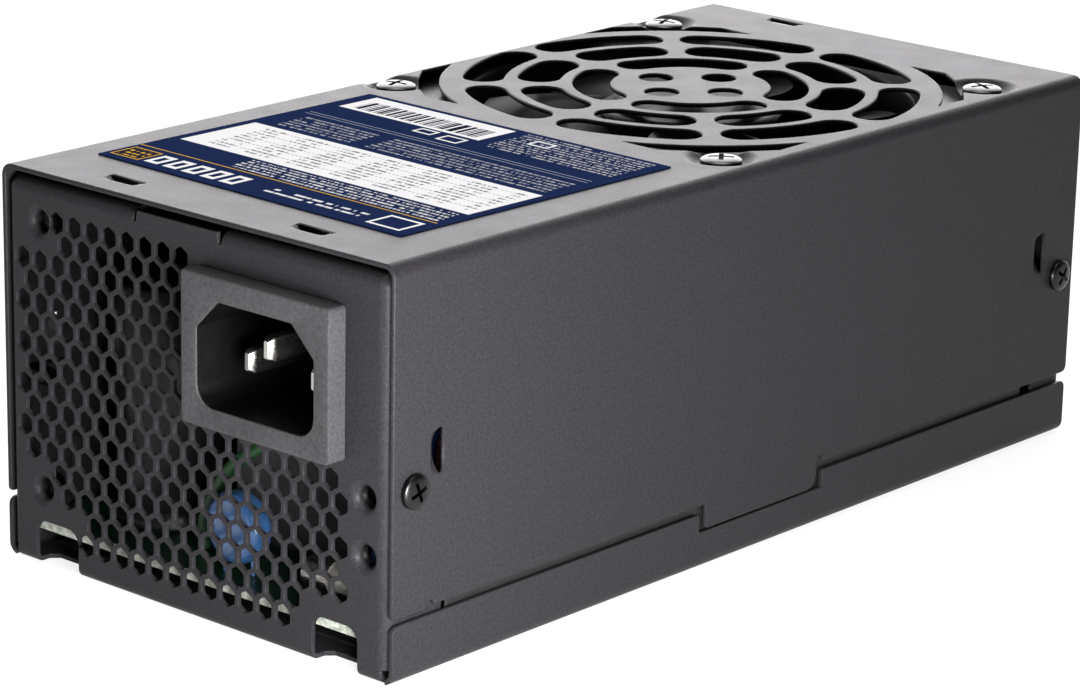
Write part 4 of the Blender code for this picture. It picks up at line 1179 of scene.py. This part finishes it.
def make_label():
    low, high, centre = node_box("rating_label")
    corners = [v.co / MM for v in NODES["rating_label"].data.vertices]
    front_left = min(corners, key=lambda p: p.x + p.y)
    front_right = max(corners, key=lambda p: p.x - p.y)
    across = front_right - front_left
    turn = math.atan2(across.y, across.x)
    width = across.xy.length
    span = (high.y - low.y - width * abs(math.sin(turn))) / math.cos(turn)
    shape = bmesh.new()
    upper, lower = box_outline(width - 0.1, span - 0.1, 0.3, 5), box_outline(width, span, 0.35, 5)
    stack(shape, [(upper, high.z), (lower, low.z)])
    bmesh.ops.rotate(shape, verts=shape.verts[:], cent=(0, 0, 0), matrix=Matrix.Rotation(turn, 3, "Z"))
    move(shape, centre.x, centre.y, 0)
    FINISHES["label_film"] = label_material(turn, centre)
    add_object("label_sheet", shape, "label_film", ["rating_label"])


# ---------------------------------------------------------------- mains inlet

def socket_outline(grow=0.0):
    """The cavity seen from the front, with chamfered top corners."""
    half_w, half_h = SOCKET[0] / 2 + grow, SOCKET[1] / 2 + grow
    top = half_h - SOCKET_DROP
    chamfer = SOCKET_CHAMFER + grow * 0.6
    corners = [
        (-half_w, -half_h, SOCKET_CORNER_R), (half_w, -half_h, SOCKET_CORNER_R), (half_w, top - chamfer, 0.8),
        (half_w - chamfer, top, 0.8), (chamfer - half_w, top, 0.8), (-half_w, top - chamfer, 0.8),
    ]
    return rounded(corners, 6)


def make_inlet():
    face = FRONT - INLET_PROUD
    shape = bmesh.new()

    def level(outline, y):
        return ring(shape, [(INLET_X + x, y, INLET_Z + z) for x, z in outline])

    def bezel(inset, y):
        return level(box_outline(BEZEL[0] - 2 * inset, BEZEL[1] - 2 * inset, 0.8 - inset, 5), y)

    outside = [bezel(0.3, face), bezel(0.16, face + 0.04), bezel(0.05, face + 0.12)]
    outside += [bezel(0.0, face + 0.3), bezel(0.0, FRONT - 0.25), bezel(0.15, FRONT - 0.1)]
    body = [level(box_outline(*SOCKET_BODY, 1.0, 5), y) for y in (FRONT - 0.1, FRONT + SOCKET_BACK)]
    cavity = [level(socket_outline(0.3), face), level(socket_outline(0.1), face + 0.1)]
    cavity += [level(socket_outline(), face + 0.3), level(socket_outline(), face + SOCKET_DEPTH)]
    for rings in (outside, body, cavity):
        skin(shape, rings)
    for loops in ([outside[0], cavity[0]], [outside[-1], body[0]], [body[-1]], [cavity[-1]]):
        flat_cap(shape, loops, 1)
    housing = add_object("inlet_housing", shape, "inlet_plastic", ["ac_inlet_body"], sharp=35)

    low_x, high_x = INLET_X - SOCKET[0] / 2 - 0.05, INLET_X + SOCKET[0] / 2 + 0.05
    low_z, high_z = INLET_Z - SOCKET[1] / 2 - 0.05, INLET_Z + SOCKET[1] / 2 + 0.05

    def is_in_cavity(middle):
        x, y, z = middle / MM
        return low_x < x < high_x and low_z < z < high_z and face + 0.2 < y < face + SOCKET_DEPTH + 0.1

    # The cavity's faces get the near-black socket_black finish: painted shade inside the socket's recess
    repaint(housing, "socket_black", is_in_cavity)


def make_pins():
    """Flat contact blades with tapered tips."""
    for name in ("line_pin", "neutral_pin", "earth_pin"):
        low, high, centre = node_box(name)
        size = high - low
        levels = []
        tip = [(0.62, 0.0), (0.55, 0.06), (0.08, 0.9), (0.0, 1.3), (0.0, size.y)]
        for inset, along_pin in tip:
            outline = box_outline(size.x - 2 * inset, size.z - 2 * inset, 0.35, 3, (centre.x, centre.z))
            levels.append((outline, low.y + along_pin))
        shape = bmesh.new()
        stack(shape, levels, 1)
        add_object(f"{name}_blade", shape, "bright_nickel", [name], sharp=35)


# ---------------------------------------------------------------- screws

def phillips_cutter(size, depth):
    """A tapered cross whose arms narrow towards its foot."""
    cutter = bmesh.new()
    levels = ((0.4, size, 0.36), (-depth * 0.6, size * 0.66, 0.3), (-depth, size * 0.3, 0.26))
    for turn in (0, 90):
        rings = []
        for height, reach, share in levels:
            half = size * share / 2
            corners = [(-reach, -half), (reach, -half), (reach, half), (-reach, half)]
            corners = [Matrix.Rotation(math.radians(turn), 2) @ Vector(corner) for corner in corners]
            rings.append(ring(cutter, [(x, y, height) for x, y in corners]))
        skin(cutter, rings, ends=True)
    bmesh.ops.recalc_face_normals(cutter, faces=cutter.faces[:])
    return cutter


def screw_mesh(name, head_r, head_h, shank_r, shank_l, pitch):
    """A pan head with a cross recess over a threaded shank. The head sits on height 0."""
    profile = [(0.0, head_h)]
    for step in range(1, 9):
        angle = math.radians(90 * step / 8)
        profile.append((head_r * math.sin(angle) ** 0.8, head_h * (0.45 + 0.55 * math.cos(angle) ** 0.8)))
    profile += [(head_r, head_h * 0.12), (head_r * 0.96, 0.0), (shank_r, 0.0)]
    for turn in range(int(shank_l / pitch)):
        top = -pitch * turn
        profile += [(shank_r * 0.8, top - pitch * 0.5), (shank_r, top - pitch)]
    profile += [(shank_r * 0.4, -shank_l), (0.0, -shank_l)]
    shape = turned(bmesh.new(), profile, 32)
    bmesh.ops.recalc_face_normals(shape, faces=shape.faces[:])
    recess = phillips_cutter(head_r * 0.7, head_h * 1.3)
    move(recess, 0, 0, head_h)
    blank = link_object(name, metre_mesh(name, shape))
    carve(blank, link_object("recess", metre_mesh("recess", recess)))
    mesh = blank.data
    bpy.data.objects.remove(blank)
    mesh.shade_smooth()
    mesh.set_sharp_from_angle(angle=math.radians(32))
    return mesh


def add_screw(kind, number, mesh, place):
    """A screw at a place in millimetres, instead of the node of its kind and number."""
    node = f"{kind}_{number}"
    obj = link_object(f"{kind}_head_{number}", mesh)
    location, turn, scale = place.decompose()
    obj.matrix_world = Matrix.LocRotScale(location * MM, turn, scale)
    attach(obj, "case")
    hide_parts(node)


def screw_seats():
    """Where each kind of screw sits, with the turn it was left at."""
    floor = TOP - DIMPLE_DEPTH + 0.05
    fan = zip((12, 38, 64, 21), dimple_centres())
    walls = zip((20, 55, 8, 33), [(side, y) for side in (1, -1) for y in COVER_SCREW_ALONG])
    board = []
    for number in range(1, 5):
        _, high, centre = node_box(f"board_screw_{number}")
        foot = high.z - SCREWS["board_screw"][0][1]
        board.append(placed((centre.x, centre.y, foot), ("Z", 25 * number)))
    return {
        "fan_screw": [placed((x, FRONT + y, floor), ("Z", turn)) for turn, (x, y) in fan],
        "cover_screw": [
            placed((side * (HALF_W + 0.05), FRONT + y, COVER_SCREW_Z), ("Y", side * 90), ("Z", turn))
            for turn, (side, y) in walls
        ],
        "board_screw": board,
    }


def make_screws():
    for kind, places in screw_seats().items():
        sizes, finish, slot = SCREWS[kind]
        mesh = screw_mesh(kind, *sizes)
        mesh.materials.append(FINISHES[finish])
        for number, place in enumerate(places, 1):
            add_screw(kind, number, mesh, place)


# ---------------------------------------------------------------- fan

BLADES = 7
HUB_R = 16.0
BLADE_ROOT_R = 15.2
BLADE_TIP_R = 36.4
BLADE_CHORD = (42, 36)   # degrees round the hub at the root and at the tip
BLADE_SWEEP = 16         # degrees that the tip runs ahead of the root
BLADE_DROP = 8.64        # from one edge to the other, at the root
BLADE_MIDDLE = 8.0
BLADE_CAMBER = 0.9
BLADE_EDGE = 0.28        # half thicknesses
BLADE_BULGE = 0.45
CHORD_STEPS = 12
BLADE_ROWS = 10
FLANGE = 3.4         # thickness of the fan frame's flanges
BORE = 38.3          # radius of its throat


def blade_point(blade, u, v, side):
    """A point of a blade's upper or lower face, u along its chord and v from root to tip."""
    radius = BLADE_ROOT_R + (BLADE_TIP_R - BLADE_ROOT_R) * v
    span = math.radians(BLADE_CHORD[0] + (BLADE_CHORD[1] - BLADE_CHORD[0]) * v)
    middle = math.tau * blade / BLADES + math.radians(BLADE_SWEEP) * v * v
    angle = middle + (u - 0.5) * span
    slope = (0.5 - u) * BLADE_DROP * (1 - 0.25 * v)
    height = BLADE_MIDDLE + slope + BLADE_CAMBER * math.sin(math.pi * u)
    bulge = math.sin(math.pi * min(1.0, u * 1.25 + 0.02)) ** 0.5
    thick = BLADE_EDGE + BLADE_BULGE * bulge * (1 - 0.4 * v)
    return Vector((radius * math.cos(angle), radius * math.sin(angle), height + side * thick))


def make_fan_rotor():
    """The cup over the motor, with its blades."""
    shape = bmesh.new()
    hub = [
        (0, 13.9), (13.6, 13.9), (14.9, 13.75), (15.6, 13.35), (HUB_R, 12.6), (HUB_R, 2.7), (15.8, 2.5),
        (14.7, 2.5), (14.5, 2.7), (14.5, 12.6), (2.5, 12.6), (2.5, 10.9), (1.2, 10.9), (1.2, 13.0), (0, 13.0),
    ]
    turned(shape, hub, 64)
    chord = [step / CHORD_STEPS for step in range(CHORD_STEPS + 1)]
    for blade in range(BLADES):
        rings = []
        for row in range(BLADE_ROWS + 1):
            v = row / BLADE_ROWS
            upper, lower = ([blade_point(blade, u, v, side) for u in chord] for side in (1, -1))
            rings.append(ring(shape, upper + lower[::-1]))
        skin(shape, rings, ends=True)
    move(shape, FAN_X, FAN_Y, FAN_LOW.z)
    add_object("fan_blades", shape, "fan_plastic", ["fan_rotor"], sharp=45, body="fan")


def frame_flange(shape, low, high, outside, barrel_r, steps=96):
    """One square flange with its corner holes. Gives the rings of its mouth and of the barrel's foot."""
    half = (FAN_HIGH.x - FAN_LOW.x) / 2
    corner_holes = [(a * SCREW_HALF_PITCH, b * SCREW_HALF_PITCH) for a in (-1, 1) for b in (-1, 1)]
    levels = []
    for height, inset in ((low, 0.25), (low + 0.25, 0.0), (high - 0.25, 0.0), (high, 0.25)):
        outlines = [box_outline(2 * (half - inset), 2 * (half - inset), 3.0, 5)]
        outlines += [circle(centre, 2.2 + inset * 0.4, 20) for centre in corner_holes]
        levels.append([ring(shape, [(x, y, height) for x, y in outline]) for outline in outlines])
    for rings in zip(*levels):
        skin(shape, rings)
    face, back = (levels[0], levels[-1]) if outside == low else (levels[-1], levels[0])
    inside = high if outside == low else low
    mouth = ring(shape, [(x, y, outside) for x, y in circle((0, 0), BORE + 0.35, steps)])
    foot = ring(shape, [(x, y, inside) for x, y in circle((0, 0), barrel_r, steps)])
    flat_cap(shape, [face[0], mouth, *face[1:]], 2)
    flat_cap(shape, [back[0], foot, *back[1:]], 2)
    return mouth, foot


def make_fan_frame():
    """The square frame: two flanges joined by a barrel whose mouth flares, with four struts."""
    depth = FAN_HIGH.z - FAN_LOW.z
    barrel = (FAN_HIGH.x - FAN_LOW.x) / 2 - 0.35
    shape = bmesh.new()
    low_mouth, low_foot = frame_flange(shape, 0.0, FLANGE, 0.0, barrel)
    mouth, foot = frame_flange(shape, depth - FLANGE, depth, depth, barrel)
    band(shape, foot, low_foot)
    throat = [[(x, y, z) for x, y in circle((0, 0), BORE, len(mouth))] for z in (0.6, depth - 0.6)]
    skin(shape, [low_mouth, *[ring(shape, points) for points in throat], mouth])
    motor_base = [(0, 0.0), (16.6, 0.0), (17.0, 0.3), (17.0, 1.8), (16.4, 1.9)]
    motor_base += [(4.4, 1.9), (4.4, 1.2), (0, 1.2)]
    turned(shape, motor_base, 56)
    for quarter in range(4):
        strut = block(bmesh.new(), (15.5, -1.5, 0.1), (BORE + 0.6, 1.5, 2.0), 0.3, 0)
        strut.transform(Matrix.Rotation(math.radians(quarter * 90 + 20), 4, "Z"))
        mesh = bpy.data.meshes.new("strut")
        strut.to_mesh(mesh)
        strut.free()
        shape.from_mesh(mesh)
        bpy.data.meshes.remove(mesh)
    move(shape, FAN_X, FAN_Y, FAN_LOW.z)
    add_object("fan_housing", shape, "fan_plastic", ["fan_frame"], sharp=35)


# ---------------------------------------------------------------- inside the case

def make_electrolytics():
    """Cans in a shrunk sleeve that turns over onto an aluminium top."""
    for name in ("bulk_capacitor", "output_capacitor_1", "output_capacitor_2"):
        low, high, centre = node_box(name)
        radius = (high.y - low.y) / 2
        height = high.z - low.z
        groove = min(3.0, height * 0.14)
        profile = [(0, height - 0.5), (radius - 1.6, height - 0.5), (radius - 1.5, height - 0.15)]
        profile += [(radius - 0.8, height), (radius - 0.25, height - 0.2), (radius, height - 0.8)]
        profile += [(radius, groove + 0.9), (radius - 0.45, groove + 0.3), (radius - 0.6, groove)]
        profile += [(radius - 0.45, groove - 0.3), (radius, groove - 0.9)]
        profile += [(radius, 0.4), (radius - 0.4, 0), (0, 0)]
        shape = turned(bmesh.new(), profile, 48, placed((centre.x, centre.y, low.z)))
        can = add_object(f"{name}_can", shape, "capacitor_sleeve", [name], sharp=40)

        def is_on_top(middle):
            from_top = middle / MM - Vector((centre.x, centre.y, high.z))
            return from_top.z > -0.7 and from_top.xy.length < radius - 1.5

        # The cans' tops get the dark aluminium finish, whose darkness is painted shade
        repaint(can, "aluminium", is_on_top)


def make_discs():
    """Dipped disc components: a lens with a soft rim and two leads."""
    for name in ("varistor", "y_capacitor"):
        low, high, centre = node_box(name)
        radius, half = (high.x - low.x) / 2, (high.y - low.y) / 2
        profile = [(0, half)]
        for cosine, sine in arc((0, 0), 1, 0, 90, 6):
            profile.append((radius - 1.4 + 1.4 * sine, half * (0.25 + 0.75 * cosine)))
        profile += [(r, -h) for r, h in reversed(profile)]
        shape = turned(bmesh.new(), profile, 40, placed(centre, ("X", 90)))
        for side in (-1, 1):
            x, y = centre.x + side * radius * 0.42, centre.y + side * 0.6
            tube(shape, [(x, y, 6.4), (x, y, low.z + 0.8)], 0.4, 8)
        add_object(f"{name}_disc", shape, "blue_epoxy", [name], sharp=50)


def make_choke(core, winding, turns, wire_r, gap_degrees=60):
    """A ring core with separate turns of enamelled wire round it."""
    low, high, centre = node_box(core)
    size = high - low
    ring_r = (size.y - min(size.x, size.z)) / 2
    tube_r = min(size.x, size.z) / 2
    place = placed(centre) if size.z < size.x else placed(centre, ("Y", 90))
    shape = turned(bmesh.new(), circle((ring_r, 0), tube_r, 14), 48, place, closed=True)
    add_object(f"{core}_ring", shape, "ferrite", [core], sharp=60)
    wound_shape = bmesh.new()
    reach = tube_r + wire_r + 0.1
    count = turns * 14
    path = []
    for step in range(count + 1):
        share = step / count
        around = math.radians(gap_degrees / 2 + (360 - gap_degrees) * share)
        spin = math.tau * turns * share
        radius = ring_r + reach * math.cos(spin)
        point = (radius * math.cos(around), radius * math.sin(around), reach * math.sin(spin))
        path.append(place @ Vector(point))
    tube(wound_shape, path, wire_r, 6)
    for face in wound_shape.faces:
        face.smooth = True
    add_object(f"{winding}_wire", wound_shape, "copper_winding", [winding])


def make_fuse():
    """A glass tube with a metal cap on each end."""
    low, high, centre = node_box("fuse")
    radius, half = (high.z - low.z) / 2, (high.x - low.x) / 2
    profile = [(0, half), (radius - 0.3, half), (radius, half - 0.3), (radius, half - 5.5)]
    profile.append((radius - 0.3, half - 5.7))
    profile += [(r, -h) for r, h in reversed(profile)]
    shape = turned(bmesh.new(), profile, 32, placed(centre, ("Y", 90)))
    glass = add_object("fuse_tube", shape, "fuse_glass", ["fuse"], sharp=40)
    repaint(glass, "bright_nickel", lambda middle: abs(middle.x / MM - centre.x) > half - 5.6)


# Inner leads: finish, radius and route, whose Y is the distance from the inlet panel
LEADS = {
    "line_lead": ("brown_wire", 1.1, [
        (10.4, 26.3, 43.3), (10.4, 29.4, 42), (11, 31.6, 36), (11, 31.9, 22), (11, 31.6, 6.8),
    ]),
    "neutral_lead": ("blue_wire", 1.1, [
        (24.4, 26.3, 43.3), (24.2, 29.2, 42), (22, 31.0, 34), (21, 31.2, 20), (21, 31.0, 6.8),
    ]),
    "earth_lead": ("green_wire", 1.1, [
        (17.4, 26.3, 47.3), (17.4, 30.0, 46.2), (17.0, 31.4, 40), (15.4, 28.5, 32.2), (9.5, 21, 29),
        (4, 14, 26.5), (-2, 10.6, 21.5), (-7.5, 10.6, 13), (-8.5, 11, 6.8),
    ]),
    "fan_lead": ("black_wire", 1.3, [
        (-30, 92, 45.4), (-31, 90, 38), (-30.5, 88, 25), (-28.5, 85, 13), (-28, 83.5, 6.8),
    ]),
}


def make_leads():
    """Insulated wires on the same routes as their solids."""
    for name, (finish, radius, points) in LEADS.items():
        shape = bmesh.new()
        tube(shape, smooth_route([(x, FRONT + y, z) for x, y, z in points], 8), radius, 14)
        add_object(f"{name}_wire", shape, finish, [name], sharp=50)


def make_film_sides():
    """The insulating film's edges, folded up along the side walls behind the seams."""
    inner, outer, foot, top = 41.2, 41.45, 2.4, 17.0
    near, far = FRONT + 12.8, FRONT + LENGTH - 12.8
    for side, name in ((-1, "insulation_edge_left"), (1, "insulation_edge_right")):
        low_x, high_x = sorted((side * inner, side * outer))
        shape = block(bmesh.new(), (low_x, near, foot), (high_x, far, top), 0.08, 0, 1.0)
        add_object(name, shape, "insulation_film", sharp=35)


def make_bushing():
    """The grommet that the output cables pass through, with a rounded lip."""
    low, high, centre = node_box("cable_bushing")
    panel = COVER_HIGH.y - high.y + 0.1
    bore, sleeve, flange = 8.0, 9.9, 12.0
    profile = [(bore, low.y - high.y), (sleeve, low.y - high.y), (sleeve, panel), (flange, panel)]
    profile += [(flange, -0.9), (11.8, -0.4), (11.3, -0.08), (10.8, 0.0), (9.2, 0.0), (8.6, -0.1)]
    profile += [(8.15, -0.45), (bore, -1.0)]
    place = placed((centre.x, high.y, centre.z), ("X", -90))
    shape = turned(bmesh.new(), profile, 64, place, closed=True)
    add_object("cable_grommet", shape, "bushing_plastic", ["cable_bushing"], sharp=40)


def dress_other_nodes():
    """Gives every node that stays its finish, and takes the edges off the plain ones."""
    slots = {part["node"]: part["material_slot"] for part in frame["record"]["subparts"]}
    for name, obj in NODES.items():
        slot = slots[name]
        if slot == "label_film":
            continue
        obj.data.materials.clear()
        obj.data.materials.append(FINISHES[slot])
        obj.data.shade_smooth()
        obj.data.set_sharp_from_angle(angle=math.radians(35))
        if name in SOFT_EDGED:
            bevel = obj.modifiers.new("edges", "BEVEL")
            bevel.width = 0.25 * MM
            bevel.segments = 2
            bevel.limit_method = "ANGLE"
            bevel.angle_limit = math.radians(40)
            bevel.harden_normals = True


SOFT_EDGED = {
    "primary_heatsink", "secondary_heatsink", "transformer_core", "transformer_winding", "line_choke_core",
    "line_choke_winding", "standby_transformer", "x_capacitor", "bridge_rectifier", "power_transistor",
    "output_rectifier",
}


# ---------------------------------------------------------------- studio

WORLD_DARK = 0.08
WORLD_BRIGHT = 5.2
WORLD_TURN = 0.3     # how far round from its brightest side the surround is dark
FLOOR_GLOW = 0.82

CAMERA_AT = Vector((424.6, -491.9, 222.0))
CAMERA_FORWARD = Vector((-0.62966806, 0.72082272, -0.28971147))
CAMERA_RIGHT = Vector((0.74896439, 0.66230701, 0.02004402))
CAMERA_LENS = 134.36


def add_camera():
    data = bpy.data.cameras.new("camera")
    data.lens = CAMERA_LENS
    data.sensor_width = 36.0
    data.clip_start = 0.01
    camera = link_object("camera", data)
    back = -CAMERA_FORWARD.normalized()
    right = (CAMERA_RIGHT - back * CAMERA_RIGHT.dot(back)).normalized()
    up = back.cross(right)
    turn = Matrix((right, up, back)).transposed().to_4x4()
    camera.matrix_world = Matrix.Translation(CAMERA_AT * MM) @ turn
    bpy.context.scene.camera = camera


def add_area_light(name, place, size, energy, aim):
    data = bpy.data.lights.new(name, "AREA")
    data.shape = "RECTANGLE"
    data.size, data.size_y = size[0] * MM, size[1] * MM
    data.energy = energy
    light = link_object(name, data)
    light.location = Vector(place) * MM
    light.visible_camera = False
    direction = (Vector(aim) - Vector(place)).normalized()
    light.rotation_euler = direction.to_track_quat("-Z", "Y").to_euler()


def add_studio():
    """A near-white floor and surround, with the brightest light low behind the object."""
    world = bpy.data.worlds.new("studio")
    nodes = Nodes("studio", world, "Generated")
    bright_side = {0: nodes.coordinates, 1: (-0.80, 0.60, 0.0)}
    facing = nodes.add("ShaderNodeVectorMath", bright_side, operation="DOT_PRODUCT").outputs["Value"]
    levels = {"Value": facing, "From Min": WORLD_TURN, "To Min": WORLD_DARK, "To Max": WORLD_BRIGHT}
    strength = nodes.add("ShaderNodeMapRange", levels, interpolation_type="SMOOTHSTEP").outputs["Result"]
    nodes.feed(nodes.tree.nodes["Background"], {"Color": (1.0, 0.975, 1.0, 1.0), "Strength": strength})
    bpy.context.scene.world = world

    shape = bmesh.new()
    bmesh.ops.create_circle(shape, cap_ends=True, segments=96, radius=3000)
    move(shape, 0, 0, -0.05)
    floor = link_object("floor", metre_mesh("floor", shape))
    floor.data.materials.append(Nodes("floor").finished({
        "Base Color": (0.25, 0.25, 0.25, 1.0),
        "Roughness": 0.9,
        "Specular IOR Level": 0.1,
        "Emission Color": (1.0, 1.0, 1.0, 1.0),
        "Emission Strength": FLOOR_GLOW,
    }))
    add_area_light("right_light", (170, -160, 42), (100, 60), 1.35, (42, -75, 34))
    add_area_light("top_light", (0, 0, 1200), (800, 800), 7.5, (0, 0, 0))


def main():
    bpy.context.scene.view_settings.view_transform = "Standard"
    add_camera()
    add_studio()
    make_finishes()
    dress_other_nodes()
    make_cover()
    make_base()
    make_thread_collars()
    make_label()
    make_inlet()
    make_pins()
    make_screws()
    make_fan_rotor()
    make_fan_frame()
    make_electrolytics()
    make_discs()
    make_choke("pfc_choke_core", "pfc_choke_winding", 34, 0.5)
    make_choke("output_choke_core", "output_choke_winding", 26, 0.6)
    make_fuse()
    make_leads()
    make_film_sides()
    make_bushing()


main()
